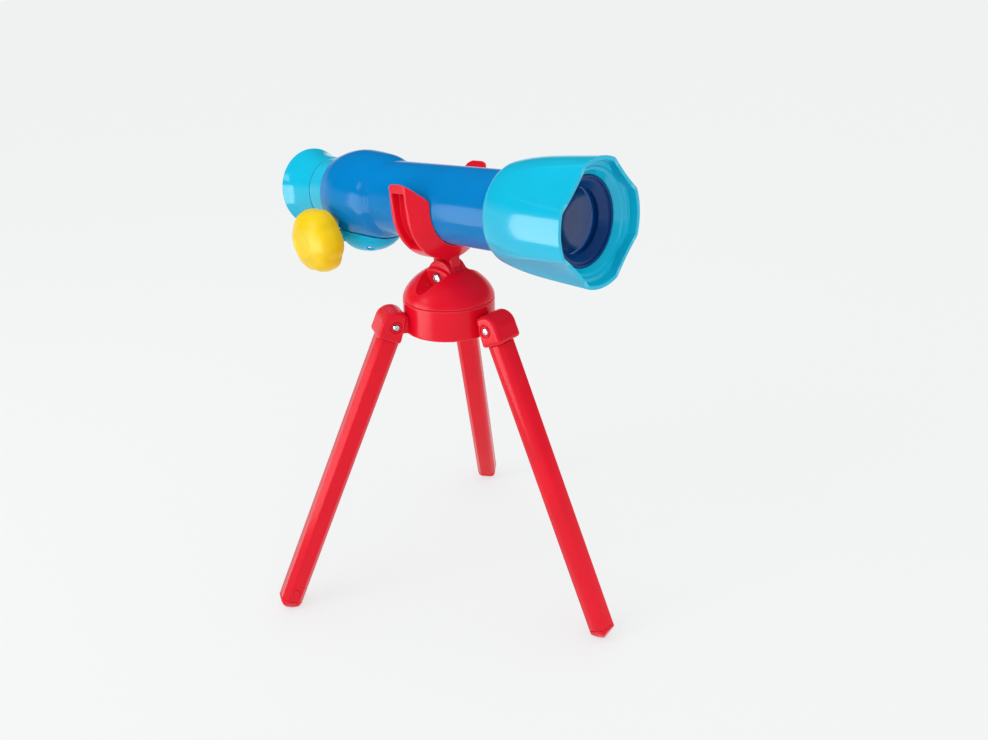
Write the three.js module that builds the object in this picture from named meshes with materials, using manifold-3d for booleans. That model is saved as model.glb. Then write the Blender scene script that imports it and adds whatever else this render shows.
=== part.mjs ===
// Toy telescope on a folding tripod, in millimetres, Z up, the telescope pointing along +X
import * as THREE from 'three';
import { mergeVertices } from 'three/addons/utils/BufferGeometryUtils.js';
import Module from 'manifold-3d';

const wasm = await Module();
wasm.setup();

// Fits and fineness
const GAP = 0.3;
const ROUND = 28;
const SMALL = 10;
const PAST = 60;

// Tripod hub and legs
const hubRadius = 30;
const hubWall = 2.4;
const hubHeight = 20.6;
const hubDrop = 8;
const hubClear = 1.5;
const knuckleInner = 7.2;
const legAngles = [4.76, 124.76, 244.76];
const legPivotRadius = hubRadius + knuckleInner + hubClear;
const legPivotHeight = 201.7;
const hubBottom = legPivotHeight - hubDrop;
const hubTop = hubBottom + hubHeight;
const footRadius = 128.95;
const splay = Math.atan2(footRadius - legPivotRadius, legPivotHeight);
const legLength = Math.hypot(footRadius - legPivotRadius, legPivotHeight);
const lugHalf = 4.8;
const lugRadius = 7.2;
const lugTop = 4;

// Knuckle, leg tube and foot
const knuckleHalf = 10.6;
const knuckleReach = 9.6;
const knuckleDrop = 10.4;
const knuckleEdge = 2.4;
const roofEnd = 122;
const screwRingOuter = 4.25;
const screwRingInner = 3.2;
const screwRingDepth = 1.2;
const legFlat = 8.4;
const legAcross = 15.2;
const legWall = 1.6;
const spigotLength = 15;
const footAngle = 47;
const footCollar = 1.6;
const footRise = 9;
const footCurve = 1.5;
const footTrim = 0.5;
const bumpRadius = 1.7;
const bumpRise = 0.6;
const bumpUp = 8;

// Leg pivot screw and its barrel nut
const legHeadRadius = 2.3;
const legHeadHeight = 1.4;
const legShankRadius = 1.05;
const legGrip = 2 * (knuckleHalf - legHeadHeight);
const legScrewSpare = 4.4;
const legScrewLength = legGrip - legScrewSpare;
const legNutBore = legShankRadius + GAP;
const legNutRadius = 1.95;
const legNutSpare = 3;
const legNutFloor = 1.5;

// Pan head
const domeBottom = hubTop + GAP;
const tiltRise = 13.5;
const tiltHeight = domeBottom + tiltRise;
const domeCrown = 8.5;
const domeHeight = tiltRise + domeCrown;
const domeCurve = 1.6;
const tongueHalf = 3.9;
const tongueRadius = 11;
const tongueClear = 0.4;
const slotHalf = tongueHalf + tongueClear;
const slotRadius = tongueRadius + tongueClear;
const slotRearDrop = 2;
const earRadius = 11.5;
const earHalf = 7.3;
const pocketFace = 9.5;
const pocketRadius = 6.1;
const pocketLean = 32;
const coreHalf = 14;
const panSpigotRadius = 12;
const panSpigotDrop = 10.6;
const panSpigotBottom = hubTop - panSpigotDrop;
const panSpigotTop = tiltHeight - slotRadius;
const panWasherRadius = 16;
const panWasherHeight = 1.6;
const panScrewRadius = 1.9;
const panScrewLength = 9;
const panHeadRadius = 3.8;
const panHeadHeight = 2.4;

// Tilt screw and nut
const tiltShankRadius = 2;
const tiltHeadRadius = 3.2;
const tiltHeadHeight = 2.2;
const tiltSeatRadius = tiltHeadRadius + 0.55;
const tiltSeatDepth = 1.2;
const nutRadius = 4;
const nutSeatRadius = nutRadius + 0.5;
const nutHeight = 3;

// Telescope pose and tube, measured along the optical axis from the yoke's middle
const tilt = 3.97;
const axisRise = 46.53;
const tubeRadius = 23.87;
const tubeWall = 1.37;
const tubeBore = tubeRadius - tubeWall;
const tubeFront = 107;
const lensSeatStep = 4.1;
const lensSeatBore = tubeBore - lensSeatStep;
const lensSeatBack = 101;
const lensSeatFront = 103;

// Swollen rear end of the tube
const bellFront = -40;
const bellShoulder = -52.8;
const bellShoulderSwell = 3.73;
const bellShoulderRadius = tubeRadius + bellShoulderSwell;
const bellMiddle = -70.8;
const bellSwell = 5.63;
const bellRadius = tubeRadius + bellSwell;
const bellRear = -92.8;
const bellRearSwell = 2.13;
const bellRearRadius = tubeRadius + bellRearSwell;
const bellWall = 2.2;
const bellLip = 2;

// Hood
const hoodRear = 63.2;
const hoodRearRadius = 27.7;
const hoodShoulder = 68.4;
const hoodShoulderRadius = 30.3;
const hoodWaist = 88.2;
const hoodWaistRadius = 33.2;
const hoodRim = 124.5;
const hoodRimRadius = 35.2;
const hoodWall = 2.2;
const hoodCollar = 8;
const hoodLipDepth = 5.1;
const hoodStep = 2;
const flatReach = 31.7;
const flatRound = 120;
const flatHalf = 18;

// Objective lens and its retainer
const lensRadius = tubeBore - GAP;
const lensEdge = 2.5;
const lensBulge = 2.6;
const retainerFront = 113.9;
const retainerPlug = lensRadius;
const retainerRadius = retainerPlug + 2.6;
const retainerMouth = retainerRadius - 1.4;
const retainerBore = retainerPlug - 4.1;

// Draw tube, eyecup and eye lens
const drawWall = 1.7;
const drawRadius = tubeBore - GAP;
const drawBore = drawRadius - drawWall;
const drawFront = -27;
const drawRear = -110.8;
const eyecupRear = -136.3;
const eyecupRimRadius = 27.6;
const eyecupFrontRadius = 22.5;
const eyecupWaist = -122.8;
const eyecupWaistRadius = 23.8;
const eyecupRim = 1.4;
const eyecupPlug = 6;
const eyecupPlugWall = 2.2;
const eyeFloor = -112.4;
const eyeSeat = -114.8;
const eyeBore = 8.5;
const eyeBowl = -117.2;
const eyeLensRadius = 10;
const eyeRetainerRadius = 13;
const eyeRetainerHeight = 1.5;

// Focus drive
const shaftX = -83.8;
const shaftBelow = 4.5;
const shaftDrop = drawBore + shaftBelow;
const shaftRadius = 2;
const shaftFar = -14.3;
const shaftNear = 45;
const gearTeeth = 10;
const gearPitch = 5;
const gearPressure = THREE.MathUtils.degToRad(25);
const gearAddendum = 0.8;
const gearDedendum = 1.05;
const gearPlay = 0.3;
const gearHalf = 3.4;
const rackHalf = 3.6;
const rackBarHalf = 7;
const rackSeat = 0.52;
const rackThick = 2.35;
const rackBarBottom = rackSeat - Math.sqrt(drawBore ** 2 - rackBarHalf ** 2);
const rackBarTop = rackBarBottom + rackThick;
const rackRear = -102.5;
const rackFront = -61.5;
const slotSide = 4;
const clipRadius = 3.4;
const clipThick = 1;

// Focus knob
const knobInner = 31.8;
const knobOuter = 51.6;
const knobRadius = 21.5;
const knobLobes = 6;
const knobNotch = 0.085;
const knobCollarRadius = 5.5;
const knobCollar = 2.5;
const knobDish = 8.6;
const knobDishDepth = 0.6;

// Pod under the swollen end
const podX = -79;
const podFront = 31;
const podRear = 16;
const podHalf = 21;
const podRise = 3.87;
const podTop = podRise - tubeRadius;
const podDepth = 19.3;
const podWall = 2;
const bearingInner = 10;
const bearingOuter = 12.2;
const bearingHalf = 5;
const bearingTop = 4 - shaftDrop;
const bossRadius = 5;
const bossEnd = 29;
const windowHalf = 18;
const windowFront = -75;
const windowOver = 1;
const windowTop = podTop + windowOver;
const podScrewX = -66;
const podScrewY = 9;
const podScrewDrop = 12.4;
const podScrewSeat = podTop - podScrewDrop;
const podScrewRadius = 1.2;
const podScrewClear = 0.7;
const podScrewTip = -tubeBore - podScrewClear;
const podHeadRadius = 2.5;
const podHeadHeight = 1.6;
const podBossRadius = 4.2;
const tubeBossRadius = 3.4;
const tubeBossSink = 0.1;
const tubeBossTop = tubeBossSink - tubeBore;

// Yoke
const yokeInner = tubeRadius + GAP;
const yokeOuter = 34;
const yokeInnerHalf = 16.7;
const yokeOuterHalf = 7.7;
const armGrip = 15;
const armFace = 34.5;
const nearArmTop = 18;
const farArmTop = 21.8;
const recessHalf = 5.4;
const recessFloor = 28.6;
const recessTop = 12;
const recessBottom = -46;
const armFaceStart = 6;
const neckHalf = 8.5;
const neckAngle = 39;
const neckSink = 4;

// Plastics, lens and steel
const plastic = (color, roughness) => new THREE.MeshStandardMaterial({ color, roughness, metalness: 0 });
const red = plastic(0xd81f33, 0.35);
const blue = plastic(0x0080c8, 0.3);
const cyan = plastic(0x22b8e6, 0.3);
const teal = plastic(0x00a6cc, 0.35);
const yellow = plastic(0xffd20a, 0.4);
const navy = plastic(0x0f4c8c, 0.35);
const clear = plastic(0x16305c, 0.08);
const steel = new THREE.MeshStandardMaterial({ color: 0xb8bcc0, roughness: 0.35, metalness: 1 });

// Ways to draw out an outline and to turn a profile
const AXIS_X = new THREE.Vector3(1, 0, 0);
const AXIS_Y = new THREE.Vector3(0, 1, 0);
const AXIS_Z = new THREE.Vector3(0, 0, 1);
const DRAW = {
  x: new THREE.Matrix4().makeBasis(AXIS_Y, AXIS_Z, AXIS_X),
  z: new THREE.Matrix4(),
  near: new THREE.Matrix4().makeBasis(AXIS_X, AXIS_Z, AXIS_Y.clone().negate()),
};
const TURN = {
  x: new THREE.Matrix4().makeRotationZ(-Math.PI / 2),
  z: new THREE.Matrix4().makeRotationX(Math.PI / 2),
  near: new THREE.Matrix4().makeRotationX(Math.PI),
};

// A closed geometry as a solid that can be joined and cut
function solid(geometry) {
  const bare = new THREE.BufferGeometry();
  bare.setAttribute('position', geometry.getAttribute('position'));
  bare.setIndex(geometry.index);
  const merged = mergeVertices(bare, 1e-4);
  const index = merged.index.array;
  const kept = [];
  for (let i = 0; i < index.length; i += 3) {
    const [a, b, c] = [index[i], index[i + 1], index[i + 2]];
    if (a !== b && b !== c && c !== a) kept.push(a, b, c);
  }
  const vertProperties = new Float32Array(merged.getAttribute('position').array);
  const triVerts = new Uint32Array(kept);
  return new wasm.Manifold(new wasm.Mesh({ numProp: 3, vertProperties, triVerts }));
}

// The surface of a solid as a geometry
function surface(body) {
  const mesh = body.getMesh();
  const geometry = new THREE.BufferGeometry();
  geometry.setAttribute('position', new THREE.BufferAttribute(mesh.vertProperties, 3));
  geometry.setIndex(new THREE.BufferAttribute(mesh.triVerts, 1));
  return geometry;
}

// An outline drawn out along an axis, with its edges rounded if asked
function prism(outline, axis, from, to, edge = 0) {
  const shape = new THREE.Shape(outline.map(([a, b]) => new THREE.Vector2(a, b)));
  const geometry = new THREE.ExtrudeGeometry(shape, {
    depth: to - from - 2 * edge,
    bevelEnabled: edge > 0,
    bevelThickness: edge,
    bevelSize: edge,
    bevelOffset: -edge,
    bevelSegments: 1,
  });
  return geometry.translate(0, 0, from + edge).applyMatrix4(DRAW[axis]);
}

// A closed profile of [along, radius] points turned round an axis
function turned(profile, axis, facets) {
  const points = [...profile, profile[0]].map(([along, radius]) => new THREE.Vector2(radius, along));
  return new THREE.LatheGeometry(points, facets).applyMatrix4(TURN[axis]);
}

// A plain round bar along an axis
function bar(radius, axis, from, to, facets = SMALL) {
  return turned([[from, 0], [from, radius], [to, radius], [to, 0]], axis, facets);
}

// A box between two corners
function block(low, high) {
  const size = high.map((value, i) => value - low[i]);
  const middle = high.map((value, i) => (value + low[i]) / 2);
  return new THREE.BoxGeometry(...size).translate(...middle);
}

// Points on an arc, in degrees
function arc(centre, radius, from, to, steps) {
  const points = [];
  for (let i = 0; i <= steps; i += 1) {
    const angle = THREE.MathUtils.degToRad(from + (to - from) * i / steps);
    points.push([centre[0] + radius * Math.cos(angle), centre[1] + radius * Math.sin(angle)]);
  }
  return points;
}

// A smooth line through a few points
function smooth(points, steps) {
  const curve = new THREE.SplineCurve(points.map(([a, b]) => new THREE.Vector2(a, b)));
  return curve.getPoints(steps).map((point) => [point.x, point.y]);
}

// An outline mirrored in its first value, in the reverse order
function mirrored(points) {
  return points.map(([a, b]) => [-a, b]).reverse();
}

// Cross-head screw pointing down, the head's underside at zero
function screw(headRadius, headHeight, shankRadius, length) {
  const body = solid(turned([
    [-length, 0],
    [-length, shankRadius],
    [0, shankRadius],
    [0, headRadius],
    [headHeight * 0.5, headRadius],
    [headHeight, headRadius * 0.72],
    [headHeight, 0],
  ], 'z', SMALL));
  return surface(crossCut(body, headRadius, headHeight));
}

// Cross recess in the top of a screw head
function crossCut(body, headRadius, headHeight) {
  const wide = headRadius * 0.14;
  const long = headRadius * 0.55;
  const floor = headHeight * 0.45;
  const across = block([-long, -wide, floor], [long, wide, headHeight + 1]);
  const along = block([-wide, -long, floor], [wide, long, headHeight + 1]);
  return body.subtract(solid(across).add(solid(along)));
}

// Round band with a top plate, a bearing boss and three lugs
function tripodBase() {
  const inner = hubRadius - hubWall;
  const bore = panSpigotRadius + GAP;
  const boss = bore + hubWall;
  const bossBottom = panSpigotBottom + GAP;
  let base = solid(turned([
    [hubBottom, inner],
    [hubBottom, hubRadius],
    [hubTop, hubRadius],
    [hubTop, bore],
    [bossBottom, bore],
    [bossBottom, boss],
    [hubTop - hubWall, boss],
    [hubTop - hubWall, inner],
  ], 'z', ROUND));
  const top = THREE.MathUtils.radToDeg(Math.asin(lugTop / lugRadius));
  const lug = [
    [hubRadius - hubWall / 2, legPivotHeight - lugRadius],
    ...arc([legPivotRadius, legPivotHeight], lugRadius, -90, top, 10),
    [hubRadius - hubWall / 2, legPivotHeight + lugTop],
  ];
  for (const angle of legAngles) {
    const turn = THREE.MathUtils.degToRad(angle);
    const hole = bar(legNutRadius + GAP, 'near', -PAST, PAST).translate(legPivotRadius, 0, legPivotHeight);
    base = base.add(solid(prism(lug, 'near', -lugHalf, lugHalf).rotateZ(turn)));
    base = base.subtract(solid(hole.rotateZ(turn)).intersect(lugZone(turn)));
  }
  return surface(base);
}

// Space round one lug, so that its hole leaves the other lugs alone
function lugZone(turn) {
  const low = [hubRadius, -lugHalf - 1, hubBottom - lugRadius];
  const high = [legPivotRadius + lugRadius + 1, lugHalf + 1, hubTop];
  return solid(block(low, high).rotateZ(turn));
}

// Half profile of the dome, given its radius and height
function domeProfile(radius, height, steps) {
  const points = [];
  for (let i = 0; i <= steps; i += 1) {
    const angle = Math.PI / 2 * i / steps;
    const across = Math.cos(angle) ** (2 / domeCurve);
    const up = Math.sin(angle) ** (2 / domeCurve);
    points.push([domeBottom + height * up, i === steps ? 0 : radius * across]);
  }
  return points;
}

// Open-topped pocket outline round the tilt axis
function pocketOutline(radius) {
  const lean = THREE.MathUtils.degToRad(pocketLean);
  const side = arc([0, tiltHeight], radius, -90, -pocketLean, 5);
  const [x, z] = side[side.length - 1];
  const top = domeBottom + domeHeight + 6;
  side.push([x + (top - z) * Math.tan(lean), top]);
  return [...side, ...mirrored(side).slice(0, -1)];
}

// Hollow dome with a spigot, a slot for the tongue, ears and two screw pockets
function panHead() {
  const outer = solid(turned([[domeBottom, 0], ...domeProfile(hubRadius, domeHeight, 7)], 'z', ROUND));
  const room = hubRadius - hubWall;
  const hollow = [
    [domeBottom - 1, 0],
    [domeBottom - 1, room],
    ...domeProfile(room, domeHeight - hubWall, 5),
  ];
  const inner = solid(turned(hollow, 'z', ROUND));
  const core = solid(block([-coreHalf, -pocketFace, domeBottom], [coreHalf, pocketFace, tiltHeight + PAST]));
  const walls = solid(prism(pocketOutline(pocketRadius + hubWall), 'near', -PAST, PAST));
  const ears = solid(prism(arc([0, tiltHeight], earRadius, 0, 340, 17), 'near', -earHalf, earHalf));
  const spigot = solid(bar(panSpigotRadius, 'z', panSpigotBottom, panSpigotTop + 1, ROUND / 2));
  const slotEnd = THREE.MathUtils.radToDeg(Math.asin(slotRearDrop / slotRadius)) - 180;
  const slot = solid(prism([
    ...arc([0, tiltHeight], slotRadius, 0, slotEnd, 12),
    [-PAST, tiltHeight - slotRearDrop],
    [-PAST, tiltHeight + PAST],
    [slotRadius, tiltHeight + PAST],
  ], 'near', -slotHalf, slotHalf));
  const pocket = pocketOutline(pocketRadius);
  let head = outer.subtract(inner).add(core.add(walls).intersect(outer)).add(ears).add(spigot);
  head = head.subtract(slot);
  head = head.subtract(solid(prism(pocket, 'near', pocketFace, PAST)));
  head = head.subtract(solid(prism(pocket, 'near', -PAST, -pocketFace)));
  const floor = pocketFace - tiltSeatDepth;
  head = head.subtract(solid(bar(tiltShankRadius + GAP, 'near', -PAST, PAST).translate(0, 0, tiltHeight)));
  head = head.subtract(solid(bar(tiltSeatRadius, 'near', floor, PAST).translate(0, 0, tiltHeight)));
  head = head.subtract(solid(bar(nutSeatRadius, 'near', -PAST, -floor).translate(0, 0, tiltHeight)));
  const pilotTop = panSpigotBottom + panScrewLength;
  head = head.subtract(solid(bar(panScrewRadius + GAP, 'z', panSpigotBottom - 1, pilotTop)));
  return surface(head);
}

// Flat ring between the pan screw and the spigot
function panWasher() {
  const top = panSpigotBottom - GAP;
  const bore = panScrewRadius + GAP;
  return turned([
    [top - panWasherHeight, bore],
    [top - panWasherHeight, panWasherRadius],
    [top, panWasherRadius],
    [top, bore],
  ], 'z', ROUND / 2);
}

// Six-sided nut on the tilt screw, along the near axis
function tiltNut() {
  const start = -(pocketFace - tiltSeatDepth + GAP);
  const bore = tiltShankRadius + GAP;
  const outside = solid(bar(nutRadius, 'near', start - nutHeight, start, 6));
  return surface(outside.subtract(solid(bar(bore, 'near', -PAST, PAST))));
}

// Cap over a lug, in leg coordinates: pivot at the origin, Z up the leg, X outwards
function legKnuckle() {
  const roof = arc([0, 0], knuckleReach, 0, roofEnd, 7);
  const outline = [[knuckleReach, -knuckleDrop], ...roof, [-knuckleInner, -knuckleDrop]];
  const clear = lugRadius + GAP;
  const far = 2 * knuckleReach;
  const end = THREE.MathUtils.degToRad(roofEnd);
  const cavity = [
    ...arc([0, 0], clear, -90, roofEnd, 9),
    [far * Math.cos(end), far * Math.sin(end)],
    [-far, far * Math.sin(end)],
    [-far, -clear],
  ];
  let knuckle = solid(prism(outline, 'near', -knuckleHalf, knuckleHalf, knuckleEdge));
  knuckle = knuckle.subtract(solid(prism(cavity, 'near', -lugHalf - GAP, lugHalf + GAP)));
  const plug = prism(plugOutline(), 'z', -knuckleDrop - spigotLength, -knuckleDrop + 1);
  knuckle = knuckle.add(solid(plug));
  knuckle = knuckle.subtract(solid(bar(legNutRadius + GAP, 'near', -PAST, PAST)));
  const seat = knuckleHalf - legHeadHeight;
  for (const [from, to] of [[seat, PAST], [-PAST, -seat]]) {
    knuckle = knuckle.subtract(solid(bar(legHeadRadius + GAP, 'near', from, to)));
  }
  const groove = knuckleHalf - screwRingDepth;
  for (const [from, to] of [[groove, PAST], [-PAST, -groove]]) {
    const outer = solid(bar(screwRingOuter, 'near', from, to));
    knuckle = knuckle.subtract(outer.subtract(solid(bar(screwRingInner, 'near', -PAST, PAST))));
  }
  return surface(knuckle);
}

// Eight-sided leg section with broad faces and narrower corners
function octagon(flat, across) {
  const near = flat / 2;
  const out = across / 2;
  return [
    [out, -near], [out, near], [near, out], [-near, out],
    [-out, near], [-out, -near], [-near, -out], [near, -out],
  ];
}

// Section of the plugs that fit inside a leg tube at both ends
function plugOutline() {
  return octagon(legFlat - legWall, legAcross - 2 * legWall - 2 * GAP);
}

// Height of the seam between leg tube and foot, up the leg from the pivot
function footSeam() {
  const wedge = legAcross / 2 / Math.tan(THREE.MathUtils.degToRad(footAngle));
  return -legLength - footTrim + wedge + footCollar;
}

// Hollow leg with a hole for the foot's snap bump
function legTube() {
  const bottom = footSeam() + GAP;
  const outside = solid(prism(octagon(legFlat, legAcross), 'z', bottom, -knuckleDrop - GAP));
  const inside = solid(prism(octagon(legFlat - legWall, legAcross - 2 * legWall), 'z', bottom - 1, 0));
  const hole = solid(bar(bumpRadius + GAP, 'near', -PAST, 0).translate(0, 0, bottom + bumpUp));
  return surface(outside.subtract(inside).subtract(hole));
}

// Rounded line of the foot's tip seen along the radius
function footTip(tip) {
  const points = [];
  for (let i = 0; i <= 10; i += 1) {
    const angle = Math.PI * i / 10;
    const across = Math.sign(Math.cos(angle)) * Math.abs(Math.cos(angle)) ** (2 / footCurve);
    const down = Math.sin(angle) ** (2 / footCurve);
    points.push([-across * legAcross / 2, tip + footRise * (1 - down)]);
  }
  return points;
}

// Wedge-ended plug with a rounded tip, a snap bump and a small flat on the floor
function legFoot() {
  const seam = footSeam();
  const half = legAcross / 2;
  const shoulder = seam - footCollar;
  const tip = -legLength - footTrim;
  const wedge = [[half, seam], [-half, seam], [-half, shoulder], [0, tip], [half, shoulder]];
  const round = [[half, 0], [-half, 0], ...footTip(tip)];
  let foot = solid(prism(octagon(legFlat, legAcross), 'z', tip, seam));
  foot = foot.intersect(solid(prism(wedge, 'near', -PAST, PAST)));
  foot = foot.intersect(solid(prism(round, 'x', -PAST, PAST)));
  foot = foot.add(solid(prism(plugOutline(), 'z', seam - 1, seam + spigotLength)));
  const bump = bar(bumpRadius, 'near', -half - bumpRise, 0);
  foot = foot.add(solid(bump.translate(0, 0, seam + GAP + bumpUp)));
  const floor = block([-PAST, -PAST, -PAST], [PAST, PAST, 0]).rotateY(splay).translate(0, 0, -legLength);
  return surface(foot.subtract(solid(floor)));
}

// Barrel nut that the leg screw threads into, pointing down from its head
function legNut() {
  const length = legGrip - legNutSpare;
  const body = solid(turned([
    [-length, legNutBore],
    [-length, legNutRadius],
    [0, legNutRadius],
    [0, legHeadRadius],
    [legHeadHeight * 0.5, legHeadRadius],
    [legHeadHeight, legHeadRadius * 0.72],
    [legHeadHeight, 0],
    [-legNutFloor, 0],
    [-legNutFloor, legNutBore],
  ], 'z', SMALL));
  return surface(crossCut(body, legHeadRadius, legHeadHeight));
}

// Outer line of the swollen end, from rear to front
function bellLine() {
  return smooth([
    [bellRear, bellRearRadius],
    [(bellRear + bellMiddle) / 2, (bellRearRadius + bellRadius) / 2 + 1],
    [bellMiddle, bellRadius],
    [bellShoulder, bellShoulderRadius],
    [(bellShoulder + bellFront) / 2 + 1, tubeRadius + 1],
    [bellFront, tubeRadius],
  ], 11);
}

// Main tube with the swollen rear end, its window, the lens seat and two screw bosses
function barrel() {
  const outer = bellLine();
  const cavity = outer
    .filter(([x, radius]) => x > bellRear + bellLip && radius > tubeBore + bellWall + 0.6)
    .map(([x, radius]) => [x, radius - bellWall])
    .reverse();
  const full = [[bellRear, 0], ...outer, [tubeFront, tubeRadius], [tubeFront, 0]];
  const filled = solid(turned(full, 'x', ROUND));
  const first = cavity[0];
  const last = cavity[cavity.length - 1];
  let tube = solid(turned([
    [bellRear, tubeBore],
    ...outer,
    [tubeFront, tubeRadius],
    [tubeFront, tubeBore],
    [lensSeatFront, tubeBore],
    [lensSeatFront, lensSeatBore],
    [lensSeatBack, lensSeatBore],
    [lensSeatBack, tubeBore],
    [first[0], tubeBore],
    ...cavity,
    [last[0], tubeBore],
  ], 'x', ROUND));
  for (const y of [-podScrewY, podScrewY]) {
    const boss = bar(tubeBossRadius, 'z', -PAST, tubeBossTop).translate(podScrewX, y, 0);
    tube = tube.add(solid(boss).intersect(filled));
  }
  for (const y of [-podScrewY, podScrewY]) {
    const hole = bar(podScrewRadius + GAP, 'z', -PAST, podScrewTip + GAP).translate(podScrewX, y, 0);
    tube = tube.subtract(solid(hole));
  }
  const gap = block([bellRear + bellLip + 0.2, -windowHalf, -PAST], [windowFront, windowHalf, windowTop]);
  return surface(tube.subtract(solid(gap)));
}

// Cutters for the four flats of the hood, taken closer to the axis by a wall
function hoodFlats(wall) {
  const reach = flatReach - wall;
  const round = flatRound + wall;
  const outline = [[flatHalf, PAST], [-flatHalf, PAST]];
  for (let i = 0; i <= 6; i += 1) {
    const across = flatHalf * (i / 3 - 1);
    outline.push([across, reach + round - Math.sqrt(round * round - across * across)]);
  }
  const cutters = [45, 135, 225, 315].map((angle) => {
    const cutter = prism(outline, 'x', hoodRear, hoodRim + PAST);
    return solid(cutter.rotateX(THREE.MathUtils.degToRad(angle)));
  });
  return cutters.reduce((all, cutter) => all.add(cutter));
}

// Flared front cap with four flats, a stepped mouth and a hollow wall
function hood() {
  const line = smooth([
    [hoodRear, hoodRearRadius],
    [hoodShoulder, hoodShoulderRadius],
    [hoodWaist, hoodWaistRadius],
    [hoodRim, hoodRimRadius],
  ], 8);
  const bore = tubeRadius + GAP;
  const mouth = retainerRadius + GAP;
  const lip = hoodRim - hoodLipDepth;
  const lipRadius = hoodRimRadius - hoodWall - 1;
  const funnelRadius = lipRadius - hoodStep;
  const outer = solid(turned([[hoodRear, 0], ...line, [hoodRim, 0]], 'x', ROUND));
  const front = solid(turned([
    [retainerFront, 0],
    [retainerFront, mouth],
    [lip - 0.4, funnelRadius],
    [lip, lipRadius],
    [hoodRim, hoodRimRadius - hoodWall],
    [hoodRim + 1, hoodRimRadius - hoodWall],
    [hoodRim + 1, 0],
  ], 'x', ROUND));
  const wall = line
    .filter(([x]) => x > hoodRear + hoodCollar && x < lip - 2 * hoodWall)
    .map(([x, radius]) => [x, radius - hoodWall]);
  const ring = solid(turned([
    [hoodRear + hoodCollar, 0],
    [hoodRear + hoodCollar, wall[0][1]],
    ...wall,
    [wall[wall.length - 1][0], mouth + hoodWall],
    [retainerFront - hoodWall, mouth],
    [retainerFront - hoodWall, 0],
  ], 'x', ROUND));
  const thinFlats = hoodFlats(hoodWall);
  let cap = outer.subtract(hoodFlats(0));
  cap = cap.subtract(front.subtract(thinFlats)).subtract(ring.subtract(thinFlats));
  cap = cap.subtract(solid(bar(bore, 'x', hoodRear - 1, retainerFront, ROUND)));
  cap = cap.subtract(solid(bar(mouth, 'x', tubeFront - 1, retainerFront + 1, ROUND)));
  return surface(cap);
}

// Bulging lens with a flat rim, front to +X
function objectiveLens() {
  const back = lensSeatFront + GAP;
  const rim = back + lensEdge;
  const bulge = [];
  for (let i = 0; i <= 4; i += 1) {
    const radius = retainerBore * (1 - i / 4);
    bulge.push([rim + lensBulge * (1 - (radius / retainerBore) ** 2), radius]);
  }
  return turned([[back, 0], [back, lensRadius], [rim, lensRadius], ...bulge], 'x', ROUND);
}

// Stepped ring that clamps the lens against its seat
function lensRetainer() {
  const plugBack = lensSeatFront + lensEdge + 2 * GAP;
  const flange = tubeFront + GAP;
  return turned([
    [plugBack, retainerBore + GAP],
    [plugBack, retainerPlug],
    [flange, retainerPlug],
    [flange, retainerRadius],
    [retainerFront, retainerRadius],
    [retainerFront, retainerMouth],
    [retainerFront - 1.4, retainerMouth],
    [retainerFront - 1.4, retainerMouth - 1.6],
    [flange + 1.6, retainerBore],
    [flange + 0.6, retainerBore],
  ], 'x', ROUND);
}

// Sliding tube with a slot below for the rack's teeth
function drawTube() {
  const tube = solid(turned([
    [drawRear, drawBore],
    [drawRear, drawRadius],
    [drawFront, drawRadius],
    [drawFront, drawBore],
  ], 'x', ROUND));
  const slot = block([rackRear - GAP, -slotSide, -PAST], [rackFront + GAP, slotSide, 0]);
  return surface(tube.subtract(solid(slot)));
}

// Straight rack inside the draw tube, its teeth pointing down at the pinion
function focusRack() {
  const pitch = 2 * Math.PI * gearPitch / gearTeeth;
  const line = gearPitch - shaftDrop;
  const lean = Math.tan(gearPressure);
  const half = pitch / 4 - gearPlay / 4;
  const outline = [[rackRear, rackBarTop], [rackRear, line + gearDedendum]];
  const first = Math.ceil((rackRear + pitch / 2 - shaftX) / pitch - 0.5);
  for (let k = first; shaftX + (k + 1) * pitch < rackFront; k += 1) {
    const middle = shaftX + (k + 0.5) * pitch;
    const root = half + gearDedendum * lean;
    const tip = half - gearAddendum * lean;
    outline.push([middle - root, line + gearDedendum], [middle - tip, line - gearAddendum]);
    outline.push([middle + tip, line - gearAddendum], [middle + root, line + gearDedendum]);
  }
  outline.push([rackFront, line + gearDedendum], [rackFront, rackBarTop]);
  const toothed = solid(prism(outline, 'near', -rackHalf, rackHalf));
  const flange = block([rackRear, -rackBarHalf, rackBarBottom], [rackFront, rackBarHalf, rackBarTop]);
  return surface(toothed.add(solid(flange)));
}

// Small gear with involute teeth, one tooth straight up, round the near axis
function focusPinion() {
  const base = gearPitch * Math.cos(gearPressure);
  const tip = gearPitch + gearAddendum;
  const root = gearPitch - gearDedendum;
  const involute = (angle) => Math.tan(angle) - angle;
  const halfAt = (radius) => {
    const flank = involute(Math.acos(Math.min(1, base / Math.max(radius, base))));
    return Math.PI / 2 / gearTeeth - gearPlay / 4 / gearPitch + involute(gearPressure) - flank;
  };
  const radii = [root, base, gearPitch, (gearPitch + tip) / 2, tip];
  const outline = [];
  for (let k = 0; k < gearTeeth; k += 1) {
    const middle = Math.PI / 2 + 2 * Math.PI * k / gearTeeth;
    const rise = radii.map((radius) => [radius, middle - halfAt(radius)]);
    const fall = radii.map((radius) => [radius, middle + halfAt(radius)]).reverse();
    for (const [radius, angle] of [...rise, ...fall]) {
      outline.push([radius * Math.cos(angle), radius * Math.sin(angle)]);
    }
  }
  const gear = solid(prism(outline, 'near', -gearHalf, gearHalf));
  return surface(gear.subtract(solid(bar(shaftRadius + GAP, 'near', -PAST, PAST))));
}

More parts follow.
